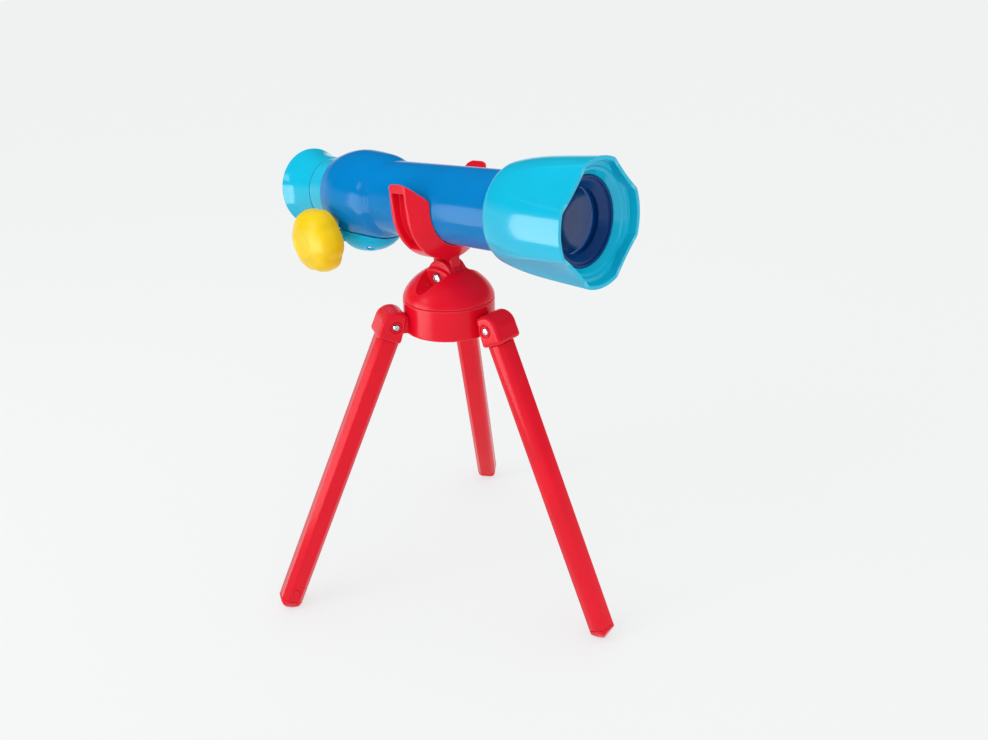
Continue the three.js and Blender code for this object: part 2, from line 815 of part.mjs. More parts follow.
// Ring that keeps the shaft in its far bearing
function shaftClip() {
  const inner = -bearingOuter - GAP;
  const bore = shaftRadius + GAP;
  return turned([
    [inner - clipThick, bore],
    [inner - clipThick, clipRadius],
    [inner, clipRadius],
    [inner, bore],
  ], 'near', SMALL);
}

// Lobed knob with a dished face and a blind hole for the shaft
function focusKnob() {
  const thick = knobOuter - knobInner;
  const hole = shaftNear + GAP;
  const bore = shaftRadius + GAP;
  const round = smooth([
    [knobInner + 1.5, knobRadius - 0.4],
    [knobInner + thick * 0.4, knobRadius],
    [knobInner + thick * 0.75, knobRadius - 3.2],
    [knobOuter, knobDish + 0.6],
  ], 7);
  const geometry = turned([
    [hole, 0],
    [hole, bore],
    [knobInner - knobCollar, bore],
    [knobInner - knobCollar, knobCollarRadius],
    [knobInner, knobCollarRadius],
    [knobInner, knobRadius - 1.8],
    ...round,
    [knobOuter - knobDishDepth, knobDish],
    [knobOuter - knobDishDepth, 0],
  ], 'near', 36);
  const place = geometry.getAttribute('position');
  for (let i = 0; i < place.count; i += 1) {
    const [x, z] = [place.getX(i), place.getZ(i)];
    const share = Math.max(0, (Math.hypot(x, z) - knobDish - 1) / (knobRadius - knobDish - 1));
    const wave = Math.cos(knobLobes * (Math.atan2(z, x) - Math.PI / 2)) / 2 + 0.5;
    const scale = 1 - knobNotch * share * wave ** 3;
    place.setX(i, x * scale);
    place.setZ(i, z * scale);
  }
  return geometry;
}

// Flared rear cup with a plug into the draw tube and a seat for the eye lens
function eyecup() {
  const plug = drawBore - GAP;
  const outer = smooth([
    [eyecupRear, eyecupRimRadius],
    [(eyecupRear + eyecupWaist) / 2, (eyecupRimRadius + eyecupWaistRadius) / 2 - 0.5],
    [eyecupWaist, eyecupWaistRadius],
    [drawRear - GAP, eyecupFrontRadius],
  ], 5);
  const bowl = smooth([
    [eyeBowl, eyeBore],
    [eyeBowl - 4, eyecupFrontRadius - 7],
    [eyecupRear, eyecupRimRadius - eyecupRim],
  ], 4);
  return turned([
    ...outer,
    [drawRear - GAP, plug],
    [drawRear + eyecupPlug, plug],
    [drawRear + eyecupPlug, plug - eyecupPlugWall],
    [eyeFloor, plug - eyecupPlugWall],
    [eyeFloor, eyeLensRadius + GAP],
    [eyeSeat, eyeLensRadius + GAP],
    [eyeSeat, eyeBore],
    ...bowl,
  ], 'x', ROUND);
}

// Small lens bulging both ways inside its flat rim
function eyeLens() {
  const rear = eyeSeat + GAP;
  const front = eyeFloor - GAP;
  const rim = eyeBore - 0.6;
  return turned([
    [rear - 1.2, 0],
    [rear - 0.8, rim * 0.55],
    [rear, rim],
    [rear, eyeLensRadius],
    [front, eyeLensRadius],
    [front, rim],
    [front + 0.9, rim * 0.55],
    [front + 1.3, 0],
  ], 'x', ROUND / 2);
}

// Ring that holds the eye lens in its seat
function eyeLensRetainer() {
  const rear = eyeFloor + GAP;
  return turned([
    [rear, eyeBore],
    [rear, eyeRetainerRadius],
    [rear + eyeRetainerHeight, eyeRetainerRadius],
    [rear + eyeRetainerHeight, eyeBore],
  ], 'x', ROUND / 2);
}

// Boat hull, longer to the front than to the rear, taken in by a wall
function podHull(wall) {
  const hull = new THREE.SphereGeometry(1, 18, 12).rotateX(Math.PI / 2);
  const place = hull.getAttribute('position');
  for (let i = 0; i < place.count; i += 1) {
    const reach = place.getX(i) > 0 ? podFront : podRear;
    place.setX(i, podX + place.getX(i) * (reach - wall));
    place.setY(i, place.getY(i) * (podHalf - wall));
    place.setZ(i, podTop + place.getZ(i) * (podDepth - wall));
  }
  return solid(hull);
}

// Hollow hull under the swollen end with two shaft bearings and two screw bosses
function focusPod() {
  const hull = podHull(0);
  const above = solid(block([-PAST * 3, -PAST, podTop], [0, PAST, PAST]));
  const bell = bellLine().map(([x, radius]) => [x, radius + GAP]);
  const tube = solid(turned([
    [bellRear - PAST, 0],
    [bellRear - PAST, bell[0][1]],
    ...bell,
    [0, tubeRadius + GAP],
    [0, 0],
  ], 'x', ROUND));
  let pod = hull.subtract(podHull(podWall));
  for (const [from, to] of [[bearingInner, bearingOuter], [-bearingOuter, -bearingInner]]) {
    const low = [shaftX - bearingHalf, from, -PAST];
    const high = [shaftX + bearingHalf, to, bearingTop];
    pod = pod.add(solid(block(low, high)).intersect(hull));
  }
  for (const y of [-podScrewY, podScrewY]) {
    const post = bar(podBossRadius, 'z', -PAST, podTop).translate(podScrewX, y, 0);
    pod = pod.add(solid(post).intersect(hull));
  }
  const boss = bar(bossRadius, 'near', bearingOuter - 1, bossEnd).translate(shaftX, 0, -shaftDrop);
  pod = pod.add(solid(boss)).subtract(above).subtract(tube.subtract(windowZone()));
  const bore = bar(shaftRadius + GAP, 'near', -bearingOuter - 1, PAST).translate(shaftX, 0, -shaftDrop);
  pod = pod.subtract(solid(bore));
  for (const y of [-podScrewY, podScrewY]) {
    const hole = bar(podScrewRadius + GAP, 'z', -PAST, PAST).translate(podScrewX, y, 0);
    const recess = bar(podHeadRadius + GAP, 'z', -PAST, podScrewSeat).translate(podScrewX, y, 0);
    pod = pod.subtract(solid(hole)).subtract(solid(recess));
  }
  return surface(pod);
}

// Space of the tube's window that the shaft bearings reach into
function windowZone() {
  const low = [bellRear + bellLip + 2, -bearingOuter - 0.5, -PAST];
  return solid(block(low, [windowFront - 2, bearingOuter + 0.5, bearingTop + 1]));
}

// Space the cradle may fill: narrower with distance from the axis
function yokeTaper() {
  const slope = (yokeInnerHalf - yokeOuterHalf) / (yokeOuter - yokeInner);
  const reach = yokeInner + yokeInnerHalf / slope;
  const below = solid(turned([
    [-yokeInnerHalf, 0],
    [-yokeInnerHalf, yokeInner],
    [0, reach],
    [yokeInnerHalf, yokeInner],
    [yokeInnerHalf, 0],
  ], 'x', ROUND));
  const plan = [
    [-yokeInnerHalf, yokeInner], [0, reach], [yokeInnerHalf, yokeInner],
    [yokeInnerHalf, -yokeInner], [0, -reach], [-yokeInnerHalf, -yokeInner],
  ];
  return below.add(solid(prism(plan, 'z', 0, PAST)));
}

// One arm seen from the side, with a fully rounded top
function armOutline(top) {
  const round = arc([0, top - yokeInnerHalf], yokeInnerHalf, 0, 180, 14);
  return [[-yokeInnerHalf, -PAST], [yokeInnerHalf, -PAST], ...round];
}

// U-shaped cradle with a long recess in each arm and a tongue below
function yoke() {
  const gripRise = yokeInner * Math.sin(THREE.MathUtils.degToRad(armGrip));
  const gripHalf = yokeInner * Math.cos(THREE.MathUtils.degToRad(armGrip));
  const section = [
    ...arc([0, 0], yokeOuter, 180, 360, 16),
    [armFace, armFaceStart],
    [armFace, farArmTop],
    [gripHalf, gripRise],
    ...arc([0, 0], yokeInner, armGrip, -180 - armGrip, 22).slice(1, -1),
    [-gripHalf, gripRise],
    [-armFace, nearArmTop],
    [-armFace, armFaceStart],
  ];
  let cradle = solid(prism(section, 'x', -yokeInnerHalf, yokeInnerHalf)).intersect(yokeTaper());
  const nearTop = solid(prism(armOutline(nearArmTop), 'near', 0, PAST));
  const farTop = solid(prism(armOutline(farArmTop), 'near', -PAST, 0));
  cradle = cradle.intersect(nearTop.add(farTop));
  const recess = [
    ...arc([0, 0], recessFloor, recessBottom, 0, 6),
    [recessFloor, recessTop],
    [PAST, recessTop],
    [PAST, 0],
    ...arc([0, 0], PAST, 0, recessBottom, 2).slice(1),
  ];
  cradle = cradle.subtract(solid(prism(recess, 'x', -recessHalf, recessHalf)));
  cradle = cradle.subtract(solid(prism(mirrored(recess), 'x', -recessHalf, recessHalf)));
  const tongue = [
    [neckHalf, -yokeInner - neckSink],
    [-neckHalf, -yokeInner - neckSink],
    ...arc([0, -axisRise], tongueRadius, 180 - neckAngle, 360 + neckAngle, 18),
  ];
  const hole = bar(tiltShankRadius + GAP, 'near', -PAST, PAST).translate(0, 0, -axisRise);
  const lug = solid(prism(tongue, 'near', -tongueHalf, tongueHalf)).subtract(solid(hole));
  return surface(cradle.add(lug));
}

// One named piece in a group
function put(group, name, geometry, material) {
  const mesh = new THREE.Mesh(geometry, material);
  mesh.name = name;
  group.add(mesh);
  return mesh;
}

// One leg with its knuckle, foot and pivot screw
function addLeg(model, number, angle) {
  const arm = new THREE.Group();
  arm.rotation.z = THREE.MathUtils.degToRad(angle);
  const leg = new THREE.Group();
  leg.position.set(legPivotRadius, 0, legPivotHeight);
  leg.rotation.y = -splay;
  arm.add(leg);
  model.add(arm);
  put(leg, `leg_knuckle_${number}`, legKnuckle(), red);
  put(leg, `leg_tube_${number}`, legTube(), red);
  put(leg, `leg_foot_${number}`, legFoot(), red);
  const seat = knuckleHalf - legHeadHeight + GAP;
  const pivot = screw(legHeadRadius, legHeadHeight, legShankRadius, legScrewLength);
  const pin = put(leg, `leg_screw_${number}`, pivot, steel);
  pin.rotation.x = Math.PI / 2;
  pin.position.y = -seat;
  const nut = put(leg, `leg_nut_${number}`, legNut(), steel);
  nut.rotation.x = -Math.PI / 2;
  nut.position.y = seat;
}

// Swivelling head with its screws
function addPanHead(model) {
  put(model, 'pan_head', panHead(), red);
  put(model, 'pan_washer', panWasher(), steel);
  const clamp = screw(panHeadRadius, panHeadHeight, panScrewRadius, panScrewLength);
  const panScrew = put(model, 'pan_screw', clamp, steel);
  panScrew.rotation.x = Math.PI;
  panScrew.position.z = panSpigotBottom - panWasherHeight - 2 * GAP;
  const seat = pocketFace - tiltSeatDepth + GAP;
  const tiltLength = 2 * seat + nutHeight + 0.5;
  const axle = screw(tiltHeadRadius, tiltHeadHeight, tiltShankRadius, tiltLength);
  const tiltScrew = put(model, 'tilt_screw', axle, steel);
  tiltScrew.rotation.x = Math.PI / 2;
  tiltScrew.position.set(0, -seat, tiltHeight);
  put(model, 'tilt_nut', tiltNut(), steel).position.z = tiltHeight;
}

// Telescope in its yoke, on the tilt axis
function addTelescope(model) {
  const scope = new THREE.Group();
  scope.position.z = tiltHeight;
  scope.rotation.y = -THREE.MathUtils.degToRad(tilt);
  const optics = new THREE.Group();
  optics.position.z = axisRise;
  scope.add(optics);
  model.add(scope);
  put(optics, 'yoke', yoke(), red);
  put(optics, 'barrel', barrel(), blue);
  put(optics, 'hood', hood(), cyan);
  put(optics, 'objective_lens', objectiveLens(), clear);
  put(optics, 'lens_retainer', lensRetainer(), navy);
  put(optics, 'draw_tube', drawTube(), cyan);
  put(optics, 'focus_rack', focusRack(), cyan);
  put(optics, 'eyecup', eyecup(), cyan);
  put(optics, 'eye_lens', eyeLens(), clear);
  put(optics, 'eye_lens_retainer', eyeLensRetainer(), navy);
  put(optics, 'focus_pod', focusPod(), teal);
  const screwLength = podScrewTip - podScrewSeat + GAP;
  [-podScrewY, podScrewY].forEach((y, i) => {
    const podScrew = screw(podHeadRadius, podHeadHeight, podScrewRadius, screwLength);
    const mesh = put(optics, `pod_screw_${i + 1}`, podScrew, steel);
    mesh.rotation.x = Math.PI;
    mesh.position.set(podScrewX, y, podScrewSeat - GAP);
  });
  const drive = new THREE.Group();
  drive.position.set(shaftX, 0, -shaftDrop);
  optics.add(drive);
  put(drive, 'focus_shaft', bar(shaftRadius, 'near', shaftFar, shaftNear), steel);
  put(drive, 'focus_pinion', focusPinion(), yellow);
  put(drive, 'shaft_clip', shaftClip(), steel);
  put(drive, 'focus_knob', focusKnob(), yellow);
}

// Whole object, moved so that the origin is under the middle of its box
const model = new THREE.Group();
put(model, 'tripod_base', tripodBase(), red);
legAngles.forEach((angle, i) => addLeg(model, i + 1, angle));
addPanHead(model);
addTelescope(model);
const middle = new THREE.Box3().setFromObject(model, true).getCenter(new THREE.Vector3());
model.position.set(-middle.x, -middle.y, 0);
const telescope = new THREE.Group();
telescope.add(model);

export default telescope;
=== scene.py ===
import math

import bmesh
import bpy
import numpy as np
from mathutils import Matrix, Vector
from mathutils.bvhtree import BVHTree


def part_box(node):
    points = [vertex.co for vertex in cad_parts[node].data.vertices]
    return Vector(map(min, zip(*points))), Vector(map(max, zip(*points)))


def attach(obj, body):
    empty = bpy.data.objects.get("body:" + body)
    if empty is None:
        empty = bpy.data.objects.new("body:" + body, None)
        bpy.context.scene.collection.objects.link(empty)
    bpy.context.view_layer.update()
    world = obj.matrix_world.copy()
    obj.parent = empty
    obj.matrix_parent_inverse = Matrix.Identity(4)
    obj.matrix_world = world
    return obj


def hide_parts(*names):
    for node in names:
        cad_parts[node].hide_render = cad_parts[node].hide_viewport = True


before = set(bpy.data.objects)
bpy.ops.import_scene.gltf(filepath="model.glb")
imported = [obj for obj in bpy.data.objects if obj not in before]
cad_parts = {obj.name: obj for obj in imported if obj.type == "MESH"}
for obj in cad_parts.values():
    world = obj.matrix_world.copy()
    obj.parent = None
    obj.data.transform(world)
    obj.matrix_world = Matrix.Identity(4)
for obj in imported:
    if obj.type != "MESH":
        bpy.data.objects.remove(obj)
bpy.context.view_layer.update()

# Metres in a millimetre
MM = 0.001

# Facets round a turned piece, a length past any piece, and how far joined or cut pieces overlap
FINE, PAST, LAP = 192, 60, 1

# Sizes in millimetres and degrees, as in the solids
GAP = 0.3

HUB_RADIUS, HUB_WALL, HUB_HEIGHT, HUB_DROP, HUB_CLEAR = 30, 2.4, 20.6, 8, 1.5
KNUCKLE_INNER = 7.2
LEG_ANGLES = (4.76, 124.76, 244.76)
PIVOT_RADIUS = HUB_RADIUS + KNUCKLE_INNER + HUB_CLEAR
PIVOT_HEIGHT = 201.7
HUB_BOTTOM = PIVOT_HEIGHT - HUB_DROP
HUB_TOP = HUB_BOTTOM + HUB_HEIGHT
FOOT_RADIUS = 128.95
SPLAY = math.atan2(FOOT_RADIUS - PIVOT_RADIUS, PIVOT_HEIGHT)
LEG_LENGTH = math.hypot(FOOT_RADIUS - PIVOT_RADIUS, PIVOT_HEIGHT)
LUG_HALF, LUG_RADIUS, LUG_TOP = 4.8, 7.2, 4
KNUCKLE_HALF, KNUCKLE_REACH, KNUCKLE_DROP, KNUCKLE_EDGE = 10.6, 9.6, 10.4, 2.4
ROOF_END = 122
RING_OUTER, RING_INNER, RING_DEPTH = 4.25, 3.2, 1.2
LEG_FLAT, LEG_ACROSS, LEG_WALL, SPIGOT = 8.4, 15.2, 1.6, 15
FOOT_ANGLE, FOOT_COLLAR, FOOT_RISE, FOOT_CURVE, FOOT_TRIM = 47, 1.6, 9, 1.5, 0.5
BUMP_RADIUS, BUMP_RISE, BUMP_UP = 1.7, 0.6, 8
LEG_HEAD_RADIUS, LEG_HEAD_HEIGHT, LEG_SHANK, LEG_NUT = 2.3, 1.4, 1.05, 1.95
LEG_GRIP = 2 * (KNUCKLE_HALF - LEG_HEAD_HEIGHT)
LEG_SCREW = LEG_GRIP - 4.4

DOME_BOTTOM = HUB_TOP + GAP
TILT_RISE, DOME_CROWN, DOME_CURVE = 13.5, 8.5, 1.6
TILT_HEIGHT = DOME_BOTTOM + TILT_RISE
DOME_HEIGHT = TILT_RISE + DOME_CROWN
TONGUE_HALF, TONGUE_RADIUS, TONGUE_CLEAR = 3.9, 11, 0.4
SLOT_HALF, SLOT_RADIUS, SLOT_REAR = TONGUE_HALF + TONGUE_CLEAR, TONGUE_RADIUS + TONGUE_CLEAR, 2
EAR_RADIUS, EAR_HALF = 11.5, 7.3
POCKET_FACE, POCKET_RADIUS, POCKET_LEAN, CORE_HALF = 9.5, 6.1, 32, 14
POCKET_TOP = DOME_BOTTOM + DOME_HEIGHT + 6
PAN_SPIGOT_RADIUS, PAN_SPIGOT_BOTTOM = 12, HUB_TOP - 10.6
PAN_SCREW_RADIUS, PAN_SCREW_LENGTH = 1.9, 9
TILT_SHANK, TILT_SEAT_DEPTH, TILT_TIP, NUT_SEAT, NUT_HEIGHT = 2, 1.2, 0.5, 4.5, 3

TILT, AXIS_RISE = 3.97, 46.53
TUBE_RADIUS, TUBE_WALL, TUBE_FRONT = 23.87, 1.37, 107
TUBE_BORE = TUBE_RADIUS - TUBE_WALL
LENS_SEAT_BACK, LENS_SEAT_FRONT, LENS_SEAT_BORE = 101, 103, TUBE_BORE - 4.1
BELL_FRONT, BELL_SHOULDER, BELL_MIDDLE, BELL_REAR = -40, -52.8, -70.8, -92.8
BELL_SHOULDER_RADIUS, BELL_RADIUS, BELL_REAR_RADIUS = (TUBE_RADIUS + s for s in (3.73, 5.63, 2.13))
BELL_LIP, BELL_SWELL = 2, 1
WINDOW_REAR, WINDOW_FRONT, WINDOW_HALF = BELL_REAR + BELL_LIP + 0.2, -75, 18

HOOD_REAR, HOOD_REAR_RADIUS = 63.2, 27.7
HOOD_SHOULDER, HOOD_SHOULDER_RADIUS = 68.4, 30.3
HOOD_WAIST, HOOD_WAIST_RADIUS = 88.2, 33.2
HOOD_RIM, HOOD_RIM_RADIUS, HOOD_WALL = 124.5, 35.2, 2.2
HOOD_LIP, HOOD_LIP_RADIUS = HOOD_RIM - 5.1, HOOD_RIM_RADIUS - HOOD_WALL - 1
HOOD_STOP = TUBE_FRONT - 1
FLAT_REACH, FLAT_ROUND = 31.7, 120

LENS_RADIUS, LENS_EDGE, LENS_BULGE = TUBE_BORE - GAP, 2.5, 2.6
RETAINER_FRONT, RETAINER_RADIUS = 113.9, LENS_RADIUS + 2.6
RETAINER_MOUTH, RETAINER_BORE = RETAINER_RADIUS - 1.4, LENS_RADIUS - 4.1
RETAINER_STEP, RETAINER_LEDGE = RETAINER_FRONT - 1.4, 1.6
THROAT_FRONT, THROAT_BACK = TUBE_FRONT + GAP + 1.6, TUBE_FRONT + GAP + 0.6

DRAW_RADIUS, DRAW_FRONT, DRAW_REAR = TUBE_BORE - GAP, -27, -110.8
DRAW_BORE = DRAW_RADIUS - 1.7
EYECUP_REAR, EYECUP_RIM_RADIUS, EYECUP_RIM = -136.3, 27.6, 1.4
EYECUP_FRONT_RADIUS, EYECUP_WAIST, EYECUP_WAIST_RADIUS = 22.5, -122.8, 23.8
EYECUP_FLARE, EYECUP_PLUG, EYECUP_PLUG_WALL = 0.5, 6, 2.2
EYE_FLOOR, EYE_SEAT, EYE_BORE = -112.4, -114.8, 8.5
EYE_BOWL, EYE_BOWL_MIDDLE, EYE_BOWL_RADIUS = -117.2, -121.2, EYECUP_FRONT_RADIUS - 7
EYE_LENS_RADIUS, EYE_LENS_RIM, EYE_REAR_BULGE, EYE_FRONT_BULGE = 10, EYE_BORE - 0.6, 1.2, 1.3

SHAFT_X, SHAFT_DROP, SHAFT_RADIUS, SHAFT_NEAR = -83.8, DRAW_BORE + 4.5, 2, 45
RACK_REAR, RACK_FRONT, RACK_SLOT = -102.5, -61.5, 4
KNOB_INNER, KNOB_OUTER, KNOB_RADIUS = 31.8, 51.6, 21.5
KNOB_LOBES, KNOB_COLLAR_RADIUS, KNOB_COLLAR = 6, 5.5, 2.5
KNOB_BACK_RADIUS, KNOB_DISH, KNOB_DISH_DEPTH = KNOB_RADIUS - 1.8, 8.6, 0.6
KNOB_THICK, NOTCH_START = KNOB_OUTER - KNOB_INNER, KNOB_DISH + 1
KNOB_SIDE = ((KNOB_INNER + 1.5, KNOB_RADIUS - 0.4), (KNOB_INNER + KNOB_THICK * 0.4, KNOB_RADIUS),
             (KNOB_INNER + KNOB_THICK * 0.75, KNOB_RADIUS - 3.2), (KNOB_OUTER, KNOB_DISH + 0.6))

POD_X, POD_FRONT, POD_REAR, POD_HALF, POD_DEPTH = -79, 31, 16, 21, 19.3
POD_TOP, POD_WALL = 3.87 - TUBE_RADIUS, 2
BEARING_INNER, BEARING_OUTER, BEARING_HALF, BEARING_TOP = 10, 12.2, 5, 4 - SHAFT_DROP
BEARING_ROOM, BEARING_MARGIN = 0.5, 2
BOSS_RADIUS, BOSS_END = 5, 29
POD_SCREW_X, POD_SCREW_Y, POD_SCREW_SEAT = -66, 9, POD_TOP - 12.4
POD_SCREW_RADIUS, POD_HEAD_RADIUS, POD_HEAD_HEIGHT, POD_POST_RADIUS = 1.2, 2.5, 1.6, 4.2
POD_SCREW_TIP = -TUBE_BORE - 0.7

YOKE_INNER, YOKE_OUTER, YOKE_INNER_HALF, YOKE_OUTER_HALF = TUBE_RADIUS + GAP, 34, 16.7, 7.7
ARM_GRIP, ARM_FACE, ARM_FACE_START, NEAR_ARM_TOP, FAR_ARM_TOP = 15, 34.5, 6, 18, 21.8
RECESS_HALF, RECESS_FLOOR, RECESS_TOP, RECESS_BOTTOM = 5.4, 28.6, 12, -46
NECK_HALF, NECK_ANGLE, NECK_SINK = 8.5, 39, 4

# Only here, or a little different from the solids, to look as photographed
KNOB_NOTCH, KNOB_RINGS, EYECUP_BEAD = 0.06, 3, 1.1
TILT_HEAD_RADIUS, TILT_HEAD_HEIGHT, TILT_SEAT = 3.7, 2.6, 4
FLAT_BLEND, LENS_BACK_BULGE = 0.5, 6

# Fold at the front of the swollen housing: distances behind its front and above the tube
BELL_FOLD = ((5.6, 0.88), (4.2, 0.15), (3, 0))

# Steps in the hood's mouth: distances behind its lip and inside the lip's radius
HOOD_STEPS = ((0, 0), (0.4, 2), (2, 3), (2.4, 4.4))

# Screw heads, as shares of their height and radius
CROWN_EDGE, CROSS_FLOOR, CROSS_HALF, CROSS_REACH = 0.45, 0.45, 0.14, 0.55

# Radii of rounded edges
HUB_EDGE, LEG_EDGE, LEG_END_EDGE, KNOB_EDGE = 0.6, 1.6, 0.35, 1.1
BARREL_EDGE, HOOD_EDGE, RETAINER_EDGE, DRAW_EDGE, SCREW_EDGE = 0.8, 0.7, 0.45, 0.4, 0.06

# Voxel size of each softened piece
HUB_GRAIN, KNUCKLE_GRAIN, FOOT_GRAIN = 0.5, 0.32, 0.28
DOME_GRAIN, YOKE_GRAIN, POD_GRAIN = 0.42, 0.45, 0.42

# Softening: points this close are one, and skin goes back to an exact face that it is aligned with
SAME_POINT, EVEN_PASSES = 0.02, 4
ALIGNED, ALIGNED_RANGE = 0.93, 0.06

# Edges that bend further than this many degrees shade sharp
SHARP_ANGLE = 60

# Outward bend at which an edge starts to turn pale, a painted highlight that is partly rubbed wear, and at
# which it is fully so
SHEEN_AND_WEAR_START, SHEEN_AND_WEAR_FULL = 0.507, 0.57

# Stage, in metres: half the floor, its share of plain glow, and the point that the lamps face
FLOOR_HALF, FLOOR_GLOW = 90, 0.72
LAMP_AIM = Vector((0, 0, 0.2))

# Camera solved from the feet, screws and knob of the photograph; place in metres, roll in degrees
CAMERA_PLACE = (0.38881, -0.34850, 0.40202)
CAMERA_AHEAD = Vector((-0.6336, 0.6495, -0.4202))
CAMERA_LENS, CAMERA_SENSOR, CAMERA_ROLL = 30.89, 36, -1.08

# Where each sub-assembly sits in the frame
WASHER_LOW, WASHER_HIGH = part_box("pan_washer")
STAND_AXIS = (WASHER_LOW + WASHER_HIGH) / 2
STAND = Matrix.Translation((STAND_AXIS.x, STAND_AXIS.y, 0)) @ Matrix.Scale(MM, 4)
SCOPE = (STAND @ Matrix.Translation((0, 0, TILT_HEIGHT))
         @ Matrix.Rotation(-math.radians(TILT), 4, "Y") @ Matrix.Translation((0, 0, AXIS_RISE)))
DRIVE = SCOPE @ Matrix.Translation((SHAFT_X, 0, -SHAFT_DROP))
LEGS = [STAND @ Matrix.Rotation(math.radians(a), 4, "Z")
        @ Matrix.Translation((PIVOT_RADIUS, 0, PIVOT_HEIGHT)) @ Matrix.Rotation(-SPLAY, 4, "Y")
        for a in LEG_ANGLES]


# Points to meshes
def make(name, points, faces):
    mesh = bpy.data.meshes.new(name)
    mesh.from_pydata(points, [], faces)
    shell = bmesh.new()
    shell.from_mesh(mesh)
    bmesh.ops.recalc_face_normals(shell, faces=shell.faces)
    shell.to_mesh(mesh)
    shell.free()
    piece = bpy.data.objects.new(name, mesh)
    bpy.context.scene.collection.objects.link(piece)
    return piece


# A point from a place in an outline and a distance along an axis; near is towards -Y
def spot(axis, a, b, along):
    return {"x": (along, a, b), "z": (a, b, along), "near": (a, -along, b)}[axis]


def prism(outline, axis, start, end):
    count = len(outline)
    points = [spot(axis, a, b, along) for along in (start, end) for a, b in outline]
    sides = [(i, (i + 1) % count, count + (i + 1) % count, count + i) for i in range(count)]
    caps = [tuple(range(count)), tuple(range(2 * count - 1, count - 1, -1))]
    return make("prism", points, sides + caps)


# A closed profile of (along, radius) turned round an axis
def turned(profile, axis, facets=FINE):
    points, rings = [], []
    for along, radius in profile:
        first = len(points)
        if radius < 1e-6:
            points.append(spot(axis, 0, 0, along))
            rings.append([first] * facets)
            continue
        for k in range(facets):
            turn = 2 * math.pi * k / facets
            points.append(spot(axis, radius * math.cos(turn), radius * math.sin(turn), along))
        rings.append(list(range(first, first + facets)))
    faces = []
    for ring, following in zip(rings, rings[1:] + rings[:1]):
        for k in range(facets):
            n = (k + 1) % facets
            corners = list(dict.fromkeys((ring[k], ring[n], following[n], following[k])))
            if len(corners) > 2:
                faces.append(corners)
    return make("turned", points, faces)


def bar(radius, axis, start, end, facets=64):
    return turned([(start, 0), (start, radius), (end, radius), (end, 0)], axis, facets)


def block(low, high):
    outline = [(low[0], low[1]), (high[0], low[1]), (high[0], high[1]), (low[0], high[1])]
    return prism(outline, "z", low[2], high[2])


def moved(piece, x=0, y=0, z=0, turn=0, axis="Z"):
    piece.data.transform(Matrix.Rotation(math.radians(turn), 4, axis) @ Matrix.Translation((x, y, z)))
    return piece


def arc(centre, radius, start, end, steps):
    turns = [math.radians(start + (end - start) * i / steps) for i in range(steps + 1)]
    return [(centre[0] + radius * math.cos(t), centre[1] + radius * math.sin(t)) for t in turns]


def mirrored(outline):
    return [(-a, b) for a, b in reversed(outline)]


# A smooth line through a few points
def smooth(points, steps):
    held = np.array(points, float)
    last = len(held) - 1
    line = []
    for t in np.linspace(0, last, steps + 1):
        i = min(int(t), last - 1)
        p0, p1, p2, p3 = (held[min(max(i + k, 0), last)] for k in (-1, 0, 1, 2))
        v0, v1, u = (p2 - p0) / 2, (p3 - p1) / 2, t - i
        line.append(tuple((2 * p1 - 2 * p2 + v0 + v1) * u ** 3
                          + (-3 * p1 + 3 * p2 - 2 * v0 - v1) * u ** 2 + v0 * u + p1))
    return line


# A closed outline with its sharp corners rounded
def eased(points, radius, steps=5, sharper_than=20):
    held = [np.array(p, float) for p in points]
    outline = []
    for before, corner, after in zip(held[-1:] + held[:-1], held, held[1:] + held[:1]):
        back, on = before - corner, after - corner
        reach_back, reach_on = np.linalg.norm(back), np.linalg.norm(on)
        if min(reach_back, reach_on) < 1e-9:
            continue
        bend = math.degrees(math.acos(np.clip(-back @ on / reach_back / reach_on, -1, 1)))
        if bend < sharper_than or (corner[1] < 1e-6 and min(before[1], after[1]) < 1e-6):
            outline.append(tuple(corner))
            continue
        reach = min(radius * math.tan(math.radians(bend) / 2), reach_back * 0.45, reach_on * 0.45)
        start, end = corner + back / reach_back * reach, corner + on / reach_on * reach
        for i in range(steps + 1):
            t = i / steps
            outline.append(tuple((1 - t) ** 2 * start + 2 * t * (1 - t) * corner + t ** 2 * end))
    return outline


# Solids joined, cut and kept in common
def applied(piece):
    graph = bpy.context.evaluated_depsgraph_get()
    mesh = bpy.data.meshes.new_from_object(piece.evaluated_get(graph))
    piece.modifiers.clear()
    piece.data = mesh
    return piece


def combined(piece, other, operation):
    change = piece.modifiers.new("change", "BOOLEAN")
    change.operation = operation
    change.solver = "MANIFOLD"
    change.object = other
    applied(piece)
    bpy.data.objects.remove(other)
    return piece


def joined(piece, *others):
    for other in others:
        piece = combined(piece, other, "UNION")
    return piece


def cut(piece, *others):
    for other in others:
        piece = combined(piece, other, "DIFFERENCE")
    return piece


def common(piece, other):
    return combined(piece, other, "INTERSECT")


# Sharp edges rounded by a small radius
def rounded(piece, radius, steps, sharper_than):
    edge = piece.modifiers.new("edge", "BEVEL")
    edge.width, edge.segments, edge.use_clamp_overlap = radius, steps, False
    edge.limit_method, edge.angle_limit = "ANGLE", math.radians(sharper_than)
    return applied(piece)


